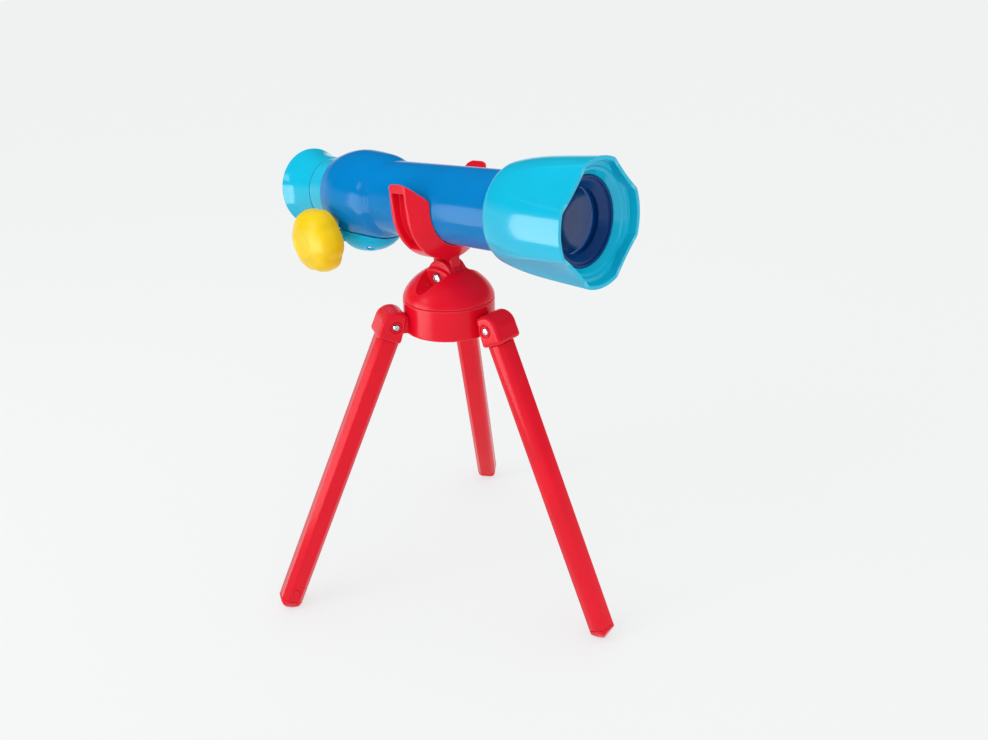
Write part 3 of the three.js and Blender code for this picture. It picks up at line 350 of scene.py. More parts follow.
# Moulded softness: edges melt into small rounds, and broad faces go back to where they were
def softened(piece, grain, passes=5):
    clean = bmesh.new()
    clean.from_mesh(piece.data)
    bmesh.ops.remove_doubles(clean, verts=clean.verts, dist=SAME_POINT)
    bmesh.ops.dissolve_degenerate(clean, edges=clean.edges, dist=SAME_POINT)
    exact = BVHTree.FromBMesh(clean)
    clean.free()
    skin = piece.modifiers.new("skin", "REMESH")
    skin.mode = "VOXEL"
    skin.voxel_size = grain
    melt = piece.modifiers.new("melt", "SMOOTH")
    melt.iterations = passes
    applied(piece)
    mesh = piece.data
    normals = [v.normal.copy() for v in mesh.vertices]
    places = []
    for vertex, outward in zip(mesh.vertices, normals):
        place, facing, _, _ = exact.find_nearest(vertex.co)
        share = min(1.0, max(0.0, (facing.dot(outward) - ALIGNED) / ALIGNED_RANGE))
        places.extend(vertex.co.lerp(place, share * share * (3 - 2 * share)))
    mesh.vertices.foreach_set("co", places)
    mesh.update()
    even = piece.modifiers.new("even", "SMOOTH")
    even.iterations = EVEN_PASSES
    return applied(piece)


# How far each point stands out from its neighbours: 0.5 on flat skin and more on outer edges
def outward_bend(mesh):
    count = len(mesh.vertices)
    points, normals = np.empty(count * 3), np.empty(count * 3)
    ends = np.empty(len(mesh.edges) * 2, dtype=int)
    mesh.vertices.foreach_get("co", points)
    mesh.vertex_normals.foreach_get("vector", normals)
    mesh.edges.foreach_get("vertices", ends)
    points, normals = points.reshape(-1, 3), normals.reshape(-1, 3)
    first, second = ends[0::2], ends[1::2]
    along = points[second] - points[first]
    along /= np.linalg.norm(along, axis=1)[:, None]
    pull, number = np.zeros((count, 3)), np.zeros(count)
    for end, way in ((first, along), (second, -along)):
        np.add.at(pull, end, way)
        np.add.at(number, end, 1)
    bend = np.arccos(np.clip((pull * normals).sum(axis=1) / number, -1, 1)) / math.pi
    spread = bend.copy()
    np.add.at(spread, first, bend[second])
    np.add.at(spread, second, bend[first])
    return spread / (number + 1)


# A finished piece: in its place, on its body, standing for its node
def finished(piece, name, place, node, body, material):
    piece.data.transform(place)
    bend = piece.data.attributes.new("bend", "FLOAT", "POINT")
    bend.data.foreach_set("value", outward_bend(piece.data))
    piece.name = piece.data.name = name
    piece.data.materials.clear()
    piece.data.materials.append(material)
    piece.data.shade_smooth()
    piece.data.set_sharp_from_angle(angle=math.radians(SHARP_ANGLE))
    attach(piece, body)
    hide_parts(node)
    return piece


# Tripod
def hub():
    inner, bore = HUB_RADIUS - HUB_WALL, PAN_SPIGOT_RADIUS + GAP
    boss, boss_bottom = bore + HUB_WALL, PAN_SPIGOT_BOTTOM + GAP
    base = turned(eased([
        (HUB_BOTTOM, inner), (HUB_BOTTOM, HUB_RADIUS), (HUB_TOP, HUB_RADIUS), (HUB_TOP, bore),
        (boss_bottom, bore), (boss_bottom, boss), (HUB_TOP - HUB_WALL, boss), (HUB_TOP - HUB_WALL, inner),
    ], HUB_EDGE), "z")
    top = math.degrees(math.asin(LUG_TOP / LUG_RADIUS))
    root = HUB_RADIUS - HUB_WALL / 2
    lug = [(root, PIVOT_HEIGHT - LUG_RADIUS),
           *arc((PIVOT_RADIUS, PIVOT_HEIGHT), LUG_RADIUS, -90, top, 28),
           (root, PIVOT_HEIGHT + LUG_TOP)]
    for angle in LEG_ANGLES:
        joined(base, moved(prism(lug, "near", -LUG_HALF, LUG_HALF), turn=angle))
    for angle in LEG_ANGLES:
        pin = bar(LEG_NUT + GAP, "near", -LUG_HALF - LAP, LUG_HALF + LAP, facets=32)
        cut(base, moved(pin, PIVOT_RADIUS, 0, PIVOT_HEIGHT, angle))
    return softened(base, HUB_GRAIN)


def octagon(flat, across):
    near, out = flat / 2, across / 2
    return [(out, -near), (out, near), (near, out), (-near, out),
            (-out, near), (-out, -near), (-near, -out), (near, -out)]


def plug(start, end):
    return prism(octagon(LEG_FLAT - LEG_WALL, LEG_ACROSS - 2 * LEG_WALL - 2 * GAP), "z", start, end)


def knuckle():
    roof = arc((0, 0), KNUCKLE_REACH, 0, ROOF_END, 28)
    outline = [(KNUCKLE_REACH, -KNUCKLE_DROP), *roof, (-KNUCKLE_INNER, -KNUCKLE_DROP)]
    cap = prism(outline, "near", -KNUCKLE_HALF, KNUCKLE_HALF)
    rounded(cap, KNUCKLE_EDGE, steps=6, sharper_than=40)
    clear, far, end = LUG_RADIUS + GAP, 2 * KNUCKLE_REACH, math.radians(ROOF_END)
    cavity = [*arc((0, 0), clear, -90, ROOF_END, 28), (far * math.cos(end), far * math.sin(end)),
              (-far, far * math.sin(end)), (-far, -clear)]
    cut(cap, prism(cavity, "near", -LUG_HALF - GAP, LUG_HALF + GAP))
    joined(cap, plug(-KNUCKLE_DROP - SPIGOT, -KNUCKLE_DROP + LAP))
    cut(cap, bar(LEG_NUT + GAP, "near", -PAST, PAST, facets=32))
    seat, groove = KNUCKLE_HALF - LEG_HEAD_HEIGHT, KNUCKLE_HALF - RING_DEPTH
    for side in (1, -1):
        head = sorted((side * seat, side * PAST))
        ring = sorted((side * groove, side * PAST))
        cut(cap, bar(LEG_HEAD_RADIUS + GAP, "near", *head, facets=40))
        cut(cap, cut(bar(RING_OUTER, "near", *ring), bar(RING_INNER, "near", -PAST, PAST)))
    return softened(cap, KNUCKLE_GRAIN)


def foot_seam():
    wedge = LEG_ACROSS / 2 / math.tan(math.radians(FOOT_ANGLE))
    return -LEG_LENGTH - FOOT_TRIM + wedge + FOOT_COLLAR


def leg_tube():
    bottom, top = foot_seam() + GAP, -KNUCKLE_DROP - GAP
    tube = prism(eased(octagon(LEG_FLAT, LEG_ACROSS), LEG_EDGE), "z", bottom, top)
    rounded(tube, LEG_END_EDGE, steps=3, sharper_than=60)
    hollow = octagon(LEG_FLAT - LEG_WALL, LEG_ACROSS - 2 * LEG_WALL)
    cut(tube, prism(hollow, "z", bottom - LAP, top + LAP))
    return cut(tube, moved(bar(BUMP_RADIUS + GAP, "near", -PAST, 0, facets=32), z=bottom + BUMP_UP))


def foot():
    seam, half, tip = foot_seam(), LEG_ACROSS / 2, -LEG_LENGTH - FOOT_TRIM
    shoulder = seam - FOOT_COLLAR
    wedge = [(half, seam), (-half, seam), (-half, shoulder), (0, tip), (half, shoulder)]
    round_tip = [(half, 0), (-half, 0)]
    for turn in np.linspace(0, math.pi, 41):
        across = math.copysign(abs(math.cos(turn)) ** (2 / FOOT_CURVE), math.cos(turn))
        down = max(0.0, math.sin(turn)) ** (2 / FOOT_CURVE)
        round_tip.append((-across * half, tip + FOOT_RISE * (1 - down)))
    shoe = prism(eased(octagon(LEG_FLAT, LEG_ACROSS), LEG_EDGE), "z", tip, seam)
    common(shoe, prism(wedge, "near", -PAST, PAST))
    common(shoe, prism(round_tip, "x", -PAST, PAST))
    joined(shoe, plug(seam - LAP, seam + SPIGOT))
    joined(shoe, moved(bar(BUMP_RADIUS, "near", -half - BUMP_RISE, 0, facets=32), z=seam + GAP + BUMP_UP))
    ground = block((-PAST, -PAST, -PAST), (PAST, PAST, 0))
    ground.data.transform(Matrix.Translation((0, 0, -LEG_LENGTH)) @ Matrix.Rotation(SPLAY, 4, "Y"))
    return softened(cut(shoe, ground), FOOT_GRAIN, passes=3)


# Swivelling head
def dome_profile(radius, height, steps):
    line = []
    for i in range(steps + 1):
        turn = math.pi / 2 * i / steps
        across = max(0.0, math.cos(turn)) ** (2 / DOME_CURVE)
        line.append((DOME_BOTTOM + height * math.sin(turn) ** (2 / DOME_CURVE), radius * across))
    line[-1] = (DOME_BOTTOM + height, 0)
    return line


def pocket_outline(radius):
    side = arc((0, TILT_HEIGHT), radius, -90, -POCKET_LEAN, 16)
    x, z = side[-1]
    side.append((x + (POCKET_TOP - z) * math.tan(math.radians(POCKET_LEAN)), POCKET_TOP))
    return side + mirrored(side)[:-1]


def dome():
    room = HUB_RADIUS - HUB_WALL
    solid_dome = [(DOME_BOTTOM, 0), *dome_profile(HUB_RADIUS, DOME_HEIGHT, 40)]
    hollow = [(DOME_BOTTOM - LAP, 0), (DOME_BOTTOM - LAP, room),
              *dome_profile(room, DOME_HEIGHT - HUB_WALL, 24)]
    core = block((-CORE_HALF, -POCKET_FACE, DOME_BOTTOM - 2 * LAP),
                 (CORE_HALF, POCKET_FACE, TILT_HEIGHT + PAST))
    joined(core, prism(pocket_outline(POCKET_RADIUS + HUB_WALL), "near", -PAST, PAST))
    head = cut(turned(solid_dome, "z"), cut(turned(hollow, "z", facets=96), core))
    joined(head, moved(bar(EAR_RADIUS, "near", -EAR_HALF, EAR_HALF, facets=96), z=TILT_HEIGHT))
    joined(head, bar(PAN_SPIGOT_RADIUS, "z", PAN_SPIGOT_BOTTOM, TILT_HEIGHT - SLOT_RADIUS + LAP))
    slot_end = math.degrees(math.asin(SLOT_REAR / SLOT_RADIUS)) - 180
    slot = [*arc((0, TILT_HEIGHT), SLOT_RADIUS, 0, slot_end, 48), (-PAST, TILT_HEIGHT - SLOT_REAR),
            (-PAST, TILT_HEIGHT + PAST), (SLOT_RADIUS, TILT_HEIGHT + PAST)]
    cut(head, prism(slot, "near", -SLOT_HALF, SLOT_HALF))
    pocket, seat = pocket_outline(POCKET_RADIUS), POCKET_FACE - TILT_SEAT_DEPTH
    cut(head, prism(pocket, "near", POCKET_FACE, PAST), prism(pocket, "near", -PAST, -POCKET_FACE))
    holes = ((TILT_SHANK + GAP, -PAST, PAST), (TILT_SEAT, seat, PAST), (NUT_SEAT, -PAST, -seat))
    for radius, start, end in holes:
        cut(head, moved(bar(radius, "near", start, end), z=TILT_HEIGHT))
    screw_end = PAN_SPIGOT_BOTTOM + PAN_SCREW_LENGTH
    cut(head, bar(PAN_SCREW_RADIUS + GAP, "z", PAN_SPIGOT_BOTTOM - LAP, screw_end, facets=32))
    return softened(head, DOME_GRAIN)


# Yoke
def yoke():
    grip = math.radians(ARM_GRIP)
    rise, half = YOKE_INNER * math.sin(grip), YOKE_INNER * math.cos(grip)
    section = [*arc((0, 0), YOKE_OUTER, 180, 360, 72), (ARM_FACE, ARM_FACE_START), (ARM_FACE, FAR_ARM_TOP),
               (half, rise), *arc((0, 0), YOKE_INNER, ARM_GRIP, -180 - ARM_GRIP, 90)[1:-1], (-half, rise),
               (-ARM_FACE, NEAR_ARM_TOP), (-ARM_FACE, ARM_FACE_START)]
    slope = (YOKE_INNER_HALF - YOKE_OUTER_HALF) / (YOKE_OUTER - YOKE_INNER)
    reach = YOKE_INNER + YOKE_INNER_HALF / slope
    taper = turned([(-YOKE_INNER_HALF, 0), (-YOKE_INNER_HALF, YOKE_INNER), (0, reach),
                    (YOKE_INNER_HALF, YOKE_INNER), (YOKE_INNER_HALF, 0)], "x")
    plan = [(-YOKE_INNER_HALF, YOKE_INNER), (0, reach), (YOKE_INNER_HALF, YOKE_INNER),
            (YOKE_INNER_HALF, -YOKE_INNER), (0, -reach), (-YOKE_INNER_HALF, -YOKE_INNER)]
    joined(taper, prism(plan, "z", 0, PAST))
    cradle = common(prism(section, "x", -YOKE_INNER_HALF, YOKE_INNER_HALF), taper)
    sides = []
    for top, start, end in ((NEAR_ARM_TOP, 0, PAST), (FAR_ARM_TOP, -PAST, 0)):
        side = [(-YOKE_INNER_HALF, -PAST), (YOKE_INNER_HALF, -PAST),
                *arc((0, top - YOKE_INNER_HALF), YOKE_INNER_HALF, 0, 180, 60)]
        sides.append(prism(side, "near", start, end))
    common(cradle, joined(*sides))
    recess = [*arc((0, 0), RECESS_FLOOR, RECESS_BOTTOM, 0, 24), (RECESS_FLOOR, RECESS_TOP),
              (PAST, RECESS_TOP), (PAST, 0), *arc((0, 0), PAST, 0, RECESS_BOTTOM, 2)[1:]]
    cut(cradle, prism(recess, "x", -RECESS_HALF, RECESS_HALF))
    cut(cradle, prism(mirrored(recess), "x", -RECESS_HALF, RECESS_HALF))
    tongue = [(NECK_HALF, -YOKE_INNER - NECK_SINK), (-NECK_HALF, -YOKE_INNER - NECK_SINK),
              *arc((0, -AXIS_RISE), TONGUE_RADIUS, 180 - NECK_ANGLE, 360 + NECK_ANGLE, 60)]
    joined(cradle, prism(tongue, "near", -TONGUE_HALF, TONGUE_HALF))
    cut(cradle, moved(bar(TILT_SHANK + GAP, "near", -PAST, PAST, facets=32), z=-AXIS_RISE))
    return softened(cradle, YOKE_GRAIN)


# Telescope: outline of the swollen housing
def bell_line():
    return smooth([
        (BELL_REAR, BELL_REAR_RADIUS),
        ((BELL_REAR + BELL_MIDDLE) / 2, (BELL_REAR_RADIUS + BELL_RADIUS) / 2 + BELL_SWELL),
        (BELL_MIDDLE, BELL_RADIUS), (BELL_SHOULDER, BELL_SHOULDER_RADIUS),
        *((BELL_FRONT - behind, TUBE_RADIUS + above) for behind, above in BELL_FOLD),
        (BELL_FRONT, TUBE_RADIUS),
    ], steps=70)


def barrel():
    tube = turned(eased([
        (BELL_REAR, TUBE_BORE), *bell_line(), (TUBE_FRONT, TUBE_RADIUS), (TUBE_FRONT, TUBE_BORE),
        (LENS_SEAT_FRONT, TUBE_BORE), (LENS_SEAT_FRONT, LENS_SEAT_BORE),
        (LENS_SEAT_BACK, LENS_SEAT_BORE), (LENS_SEAT_BACK, TUBE_BORE),
    ], BARREL_EDGE), "x")
    return cut(tube, block((WINDOW_REAR, -WINDOW_HALF, -PAST), (WINDOW_FRONT, WINDOW_HALF, POD_TOP + LAP)))


# How far out one of the four dished flats lies, in a direction given from its middle
def flat_radius(turn, wall):
    bow = FLAT_ROUND + wall
    centre = FLAT_REACH - wall + bow
    along = centre * math.cos(turn)
    return along - math.sqrt(max(0.0, along * along - centre * centre + bow * bow))


def softer_min(a, b, blend):
    share = max(0.0, blend - abs(a - b)) / blend
    return min(a, b) - share * share * blend / 4


def hood():
    line = smooth([(HOOD_REAR, HOOD_REAR_RADIUS), (HOOD_SHOULDER, HOOD_SHOULDER_RADIUS),
                   (HOOD_WAIST, HOOD_WAIST_RADIUS), (HOOD_RIM, HOOD_RIM_RADIUS)], steps=90)
    mouth, bore = RETAINER_RADIUS + GAP, TUBE_RADIUS + GAP
    outside = eased([
        *line, (HOOD_RIM, HOOD_RIM_RADIUS - HOOD_WALL),
        *((HOOD_LIP - behind, HOOD_LIP_RADIUS - inward) for behind, inward in HOOD_STEPS),
        (RETAINER_FRONT, mouth), (HOOD_STOP, mouth), (HOOD_STOP, bore), (HOOD_REAR, bore),
    ], HOOD_EDGE, steps=6)
    facets = 288
    points = []
    rim = max(range(len(outside)), key=lambda i: outside[i][0])
    inside, always_round = bore + 0.8, bore + 1.2
    for i, (x, radius) in enumerate(outside):
        inner = i > rim or radius < inside
        for k in range(facets):
            turn = 2 * math.pi * k / facets
            from_flat = (turn % (math.pi / 2)) - math.pi / 4
            limit = flat_radius(from_flat, HOOD_WALL if inner else 0)
            held = softer_min(radius, limit, FLAT_BLEND) if radius > always_round else radius
            points.append((x, held * math.cos(turn), held * math.sin(turn)))
    rows = len(outside)
    faces = [(r * facets + k, r * facets + (k + 1) % facets,
              (r + 1) % rows * facets + (k + 1) % facets, (r + 1) % rows * facets + k)
             for r in range(rows) for k in range(facets)]
    return make("hood", points, faces)


def objective():
    back = LENS_SEAT_FRONT + GAP
    rim = back + LENS_EDGE
    front_face = [(rim + LENS_BULGE * (1 - s * s), RETAINER_BORE * s)
                  for s in np.linspace(1, 0, 25)]
    back_face = [(back - LENS_BACK_BULGE * (1 - s * s), RETAINER_BORE * s)
                 for s in np.linspace(0, 1, 25)]
    return turned([*back_face, (back, LENS_RADIUS), (rim, LENS_RADIUS), *front_face], "x", facets=128)


def retainer():
    back, flange = LENS_SEAT_FRONT + LENS_EDGE + 2 * GAP, TUBE_FRONT + GAP
    return turned(eased([
        (back, RETAINER_BORE + GAP), (back, LENS_RADIUS), (flange, LENS_RADIUS),
        (flange, RETAINER_RADIUS), (RETAINER_FRONT, RETAINER_RADIUS), (RETAINER_FRONT, RETAINER_MOUTH),
        (RETAINER_STEP, RETAINER_MOUTH), (RETAINER_STEP, RETAINER_MOUTH - RETAINER_LEDGE),
        (THROAT_FRONT, RETAINER_BORE), (THROAT_BACK, RETAINER_BORE),
    ], RETAINER_EDGE), "x")


def draw_tube():
    tube = turned(eased([(DRAW_REAR, DRAW_BORE), (DRAW_REAR, DRAW_RADIUS), (DRAW_FRONT, DRAW_RADIUS),
                         (DRAW_FRONT, DRAW_BORE)], DRAW_EDGE), "x")
    return cut(tube, block((RACK_REAR - GAP, -RACK_SLOT, -PAST), (RACK_FRONT + GAP, RACK_SLOT, 0)))


def eyecup():
    plug_radius, front = DRAW_BORE - GAP, DRAW_REAR - GAP
    plug_front, plug_bore = DRAW_REAR + EYECUP_PLUG, plug_radius - EYECUP_PLUG_WALL
    outer = smooth([
        (EYECUP_REAR, EYECUP_RIM_RADIUS),
        ((EYECUP_REAR + EYECUP_WAIST) / 2, (EYECUP_RIM_RADIUS + EYECUP_WAIST_RADIUS) / 2 - EYECUP_FLARE),
        (EYECUP_WAIST, EYECUP_WAIST_RADIUS), (front, EYECUP_FRONT_RADIUS),
    ], steps=36)
    bowl = smooth([(EYE_BOWL, EYE_BORE), (EYE_BOWL_MIDDLE, EYE_BOWL_RADIUS),
                   (EYECUP_REAR, EYECUP_RIM_RADIUS - EYECUP_RIM)], steps=28)
    return turned(eased([
        *outer, (front, plug_radius), (plug_front, plug_radius), (plug_front, plug_bore),
        (EYE_FLOOR, plug_bore), (EYE_FLOOR, EYE_LENS_RADIUS + GAP), (EYE_SEAT, EYE_LENS_RADIUS + GAP),
        (EYE_SEAT, EYE_BORE), *bowl,
    ], EYECUP_BEAD), "x")


def eye_lens():
    rear, front = EYE_SEAT + GAP, EYE_FLOOR - GAP
    back_face = [(rear - EYE_REAR_BULGE * (1 - s * s), EYE_LENS_RIM * s)
                 for s in np.linspace(0, 1, 13)]
    front_face = [(front + EYE_FRONT_BULGE * (1 - s * s), EYE_LENS_RIM * s)
                  for s in np.linspace(1, 0, 13)]
    edge = [(rear, EYE_LENS_RADIUS), (front, EYE_LENS_RADIUS)]
    return turned([*back_face, *edge, *front_face], "x", facets=96)


def pod_hull(wall):
    rows, columns = 64, 128
    points = [(POD_X, 0, POD_TOP - POD_DEPTH + wall)]
    for r in range(1, rows):
        lean = math.pi * r / rows
        for k in range(columns):
            turn = 2 * math.pi * k / columns
            x, y = math.sin(lean) * math.cos(turn), math.sin(lean) * math.sin(turn)
            points.append((POD_X + x * ((POD_FRONT if x > 0 else POD_REAR) - wall), y * (POD_HALF - wall),
                           POD_TOP - math.cos(lean) * (POD_DEPTH - wall)))
    points.append((POD_X, 0, POD_TOP + POD_DEPTH - wall))
    last = len(points) - 1
    faces = []
    for k in range(columns):
        n = (k + 1) % columns
        faces.append((0, 1 + k, 1 + n))
        faces.append((last, last - columns + n, last - columns + k))
        for row in range(1, 1 + (rows - 2) * columns, columns):
            faces.append((row + k, row + columns + k, row + columns + n, row + n))
    return make("pod_hull", points, faces)


def pod():
    bell = [(x, radius + GAP) for x, radius in bell_line()]
    tube = turned([(BELL_REAR - PAST, 0), (BELL_REAR - PAST, bell[0][1]), *bell,
                   (0, TUBE_RADIUS + GAP), (0, 0)], "x")
    room = BEARING_OUTER + BEARING_ROOM
    cut(tube, block((BELL_REAR + BELL_LIP + BEARING_MARGIN, -room, -PAST),
                    (WINDOW_FRONT - BEARING_MARGIN, room, BEARING_TOP + LAP)))
    shell = cut(pod_hull(0), pod_hull(POD_WALL))
    for start, end in ((BEARING_INNER, BEARING_OUTER), (-BEARING_OUTER, -BEARING_INNER)):
        wall = block((SHAFT_X - BEARING_HALF, start, -PAST), (SHAFT_X + BEARING_HALF, end, BEARING_TOP))
        joined(shell, common(wall, pod_hull(0)))
    for y in (-POD_SCREW_Y, POD_SCREW_Y):
        post = moved(bar(POD_POST_RADIUS, "z", -PAST, POD_TOP), POD_SCREW_X, y)
        joined(shell, common(post, pod_hull(0)))
    joined(shell, moved(bar(BOSS_RADIUS, "near", BEARING_OUTER - LAP, BOSS_END), SHAFT_X, 0, -SHAFT_DROP))
    cut(shell, block((-3 * PAST, -PAST, POD_TOP), (0, PAST, PAST)), tube)
    shaft = bar(SHAFT_RADIUS + GAP, "near", -BEARING_OUTER - LAP, PAST, facets=32)
    cut(shell, moved(shaft, SHAFT_X, 0, -SHAFT_DROP))
    for y in (-POD_SCREW_Y, POD_SCREW_Y):
        hole = bar(POD_SCREW_RADIUS + GAP, "z", -PAST, PAST, facets=32)
        cut(shell, moved(hole, POD_SCREW_X, y))
        recess = bar(POD_HEAD_RADIUS + GAP, "z", -PAST, POD_SCREW_SEAT, facets=40)
        cut(shell, moved(recess, POD_SCREW_X, y))
    return softened(shell, POD_GRAIN, passes=4)


def knob():
    bore, hole, collar = SHAFT_RADIUS + GAP, SHAFT_NEAR + GAP, KNOB_INNER - KNOB_COLLAR
    side, dish = smooth(KNOB_SIDE, steps=56), []
    for s in np.linspace(1, 0, 22):
        depth = KNOB_DISH_DEPTH * (0.75 + 0.25 * math.cos(KNOB_RINGS * math.pi * s))
        dish.append((KNOB_OUTER - depth, KNOB_DISH * s))
    body = turned(eased([
        (hole, 0), (hole, bore), (collar, bore), (collar, KNOB_COLLAR_RADIUS),
        (KNOB_INNER, KNOB_COLLAR_RADIUS), (KNOB_INNER, KNOB_BACK_RADIUS), *side, *dish,
    ], KNOB_EDGE), "near", facets=216)
    for vertex in body.data.vertices:
        x, z = vertex.co.x, vertex.co.z
        share = max(0.0, (math.hypot(x, z) - NOTCH_START) / (KNOB_RADIUS - NOTCH_START))
        wave = math.cos(KNOB_LOBES * (math.atan2(z, x) - math.pi / 2)) / 2 + 0.5
        scale = 1 - KNOB_NOTCH * share * wave ** 3
        vertex.co.x, vertex.co.z = x * scale, z * scale
    return body


# Cross-head fastener pointing down, the head's underside at zero
def fastener(head_radius, head_height, shank_radius, length):
    turns = [s * math.pi / 2 for s in np.linspace(1, 0, 12)]
    crown = [(head_height * (CROWN_EDGE + (1 - CROWN_EDGE) * math.cos(t)), head_radius * math.sin(t))
             for t in turns]
    shank = [(-length, 0), (-length, shank_radius), (0, shank_radius), (0, head_radius)]
    body = turned([*shank, *crown], "z", facets=48)
    wide, long = head_radius * CROSS_HALF, head_radius * CROSS_REACH
    low, high = head_height * CROSS_FLOOR, head_height + LAP
    cross = block((-long, -wide, low), (long, wide, high))
    joined(cross, block((-wide, -long, low), (wide, long, high)))
    cut(body, cross)
    return rounded(body, SCREW_EDGE, steps=2, sharper_than=40)


# Shader nodes, with one line each
class Nodes:
    def __init__(self, tree):
        self.tree = tree
        tree.nodes.clear()

    def add(self, kind, values=None, **settings):
        node = self.tree.nodes.new("ShaderNode" + kind)
        for name, value in settings.items():
            setattr(node, name, value)
        for name, value in (values or {}).items():
            if isinstance(value, bpy.types.NodeSocket):
                self.tree.links.new(value, node.inputs[name])
            else:
                node.inputs[name].default_value = value
        return node

    def ramp(self, value, low, high, start=0.0, end=1.0):
        node = self.add("ValToRGB", {"Fac": value})
        first, last = node.color_ramp.elements
        first.position, first.color = start, low
        last.position, last.color = end, high
        return node.outputs["Color"]


def new_material(name):
    material = bpy.data.materials.new(name)
    material.use_nodes = True
    return material, Nodes(material.node_tree)


# Screen colours as light values
def light(red, green, blue):
    values = [c / 12.92 if c <= 0.04045 else ((c + 0.055) / 1.055) ** 2.4 for c in (red, green, blue)]
    return (*values, 1.0)


def shade(colour, scale):
    return tuple(min(1.0, c * scale) for c in colour[:3]) + (1.0,)


# Moulded plastic: cloudy pigment, flow marks, fine skin, and pale outer edges that are a painted
# highlight, partly rubbed wear
def plastic(name, colour, pale, roughness, shine, sheen_and_wear):
    material, n = new_material(name)
    place = n.add("TexCoord").outputs["Object"]
    cloud = n.add("TexNoise", {"Vector": place, "Scale": 26.0, "Detail": 3.0, "Roughness": 0.55})
    pigment = n.ramp(cloud.outputs["Fac"], shade(colour, 0.93), shade(colour, 1.05),
                     start=0.3, end=0.72)
    bend = n.add("Attribute", attribute_name="bend").outputs["Fac"]
    # Pale outer edges: a painted highlight along the edges, partly rubbed wear
    sheen_and_wear_mask = n.add("MapRange", {"Value": bend, "From Min": SHEEN_AND_WEAR_START, "From Max": SHEEN_AND_WEAR_FULL, "To Max": sheen_and_wear})
    sheened_and_worn = n.add("Mix", {"Factor": sheen_and_wear_mask.outputs["Result"], "A": pigment, "B": pale}, data_type="RGBA")
    stretch = n.add("Mapping", {"Vector": place, "Scale": (40.0, 90.0, 90.0)})
    flow = n.add("TexNoise", {"Vector": stretch.outputs["Vector"], "Scale": 1.0, "Detail": 4.0,
                              "Roughness": 0.6})
    gloss = n.add("MapRange", {"Value": flow.outputs["Fac"], "From Min": 0.3, "From Max": 0.75,
                               "To Min": roughness * 0.93, "To Max": roughness * 1.08})
    skin = n.add("TexNoise", {"Vector": place, "Scale": 1400.0, "Detail": 2.0, "Roughness": 0.5})
    dents = n.add("TexNoise", {"Vector": place, "Scale": 190.0, "Detail": 2.0, "Roughness": 0.5})
    relief = n.add("MapRange", {"Value": dents.outputs["Fac"], "To Max": 1.6})
    height = n.add("Math", {0: skin.outputs["Fac"], 1: relief.outputs["Result"]}, operation="ADD")
    bump = n.add("Bump", {"Strength": 0.02, "Distance": 0.0003, "Height": height.outputs["Value"]})
    shader = n.add("BsdfPrincipled", {
        "Base Color": sheened_and_worn.outputs["Result"], "Roughness": gloss.outputs["Result"],
        "Normal": bump.outputs["Normal"], "IOR": 1.49, "Specular IOR Level": shine})
    n.add("OutputMaterial", {"Surface": shader.outputs["BSDF"]})
    return material


# Plated steel with a fine uneven grain
def steel():
    material, n = new_material("plated_steel")
    place = n.add("TexCoord").outputs["Object"]
    grain = n.add("TexNoise", {"Vector": place, "Scale": 900.0, "Detail": 5.0, "Roughness": 0.65})
    tone = n.ramp(grain.outputs["Fac"], light(0.78, 0.78, 0.78), light(0.95, 0.95, 0.96))
    gloss = n.add("MapRange", {"Value": grain.outputs["Fac"], "To Min": 0.16, "To Max": 0.34})
    bump = n.add("Bump", {"Strength": 0.12, "Distance": 0.0001, "Height": grain.outputs["Fac"]})
    shader = n.add("BsdfPrincipled", {
        "Base Color": tone, "Roughness": gloss.outputs["Result"],
        "Normal": bump.outputs["Normal"], "Metallic": 1.0})
    n.add("OutputMaterial", {"Surface": shader.outputs["BSDF"]})
    return material


# Clear lens that lets light into the tube; its low index hardly reflects, and mirror adds a coat that does
def lens_glass(name, mirror):
    material, n = new_material(name)
    place = n.add("TexCoord").outputs["Object"]
    depth = n.add("TexNoise", {"Vector": place, "Scale": 40.0, "Detail": 2.0})
    tone = n.ramp(depth.outputs["Fac"], light(0.78, 0.82, 0.96), light(0.84, 0.86, 0.98))
    gloss = n.add("MapRange", {"Value": depth.outputs["Fac"], "To Min": 0.02, "To Max": 0.06})
    shader = n.add("BsdfPrincipled", {
        "Base Color": tone, "Roughness": gloss.outputs["Result"], "IOR": 1.14,
        "Transmission Weight": 1.0, "Coat Weight": mirror, "Coat IOR": 1.85, "Coat Roughness": 0.12})
    path = n.add("LightPath")
    through = n.add("Math", {0: path.outputs["Is Shadow Ray"], 1: path.outputs["Is Diffuse Ray"]},
                    operation="MAXIMUM")
    open_way = n.add("BsdfTransparent", {"Color": (0.9, 0.9, 0.95, 1.0)})
    both = n.add("MixShader", {0: through.outputs["Value"], 1: shader.outputs["BSDF"],
                               2: open_way.outputs["BSDF"]})
    n.add("OutputMaterial", {"Surface": both.outputs["Shader"]})
    return material


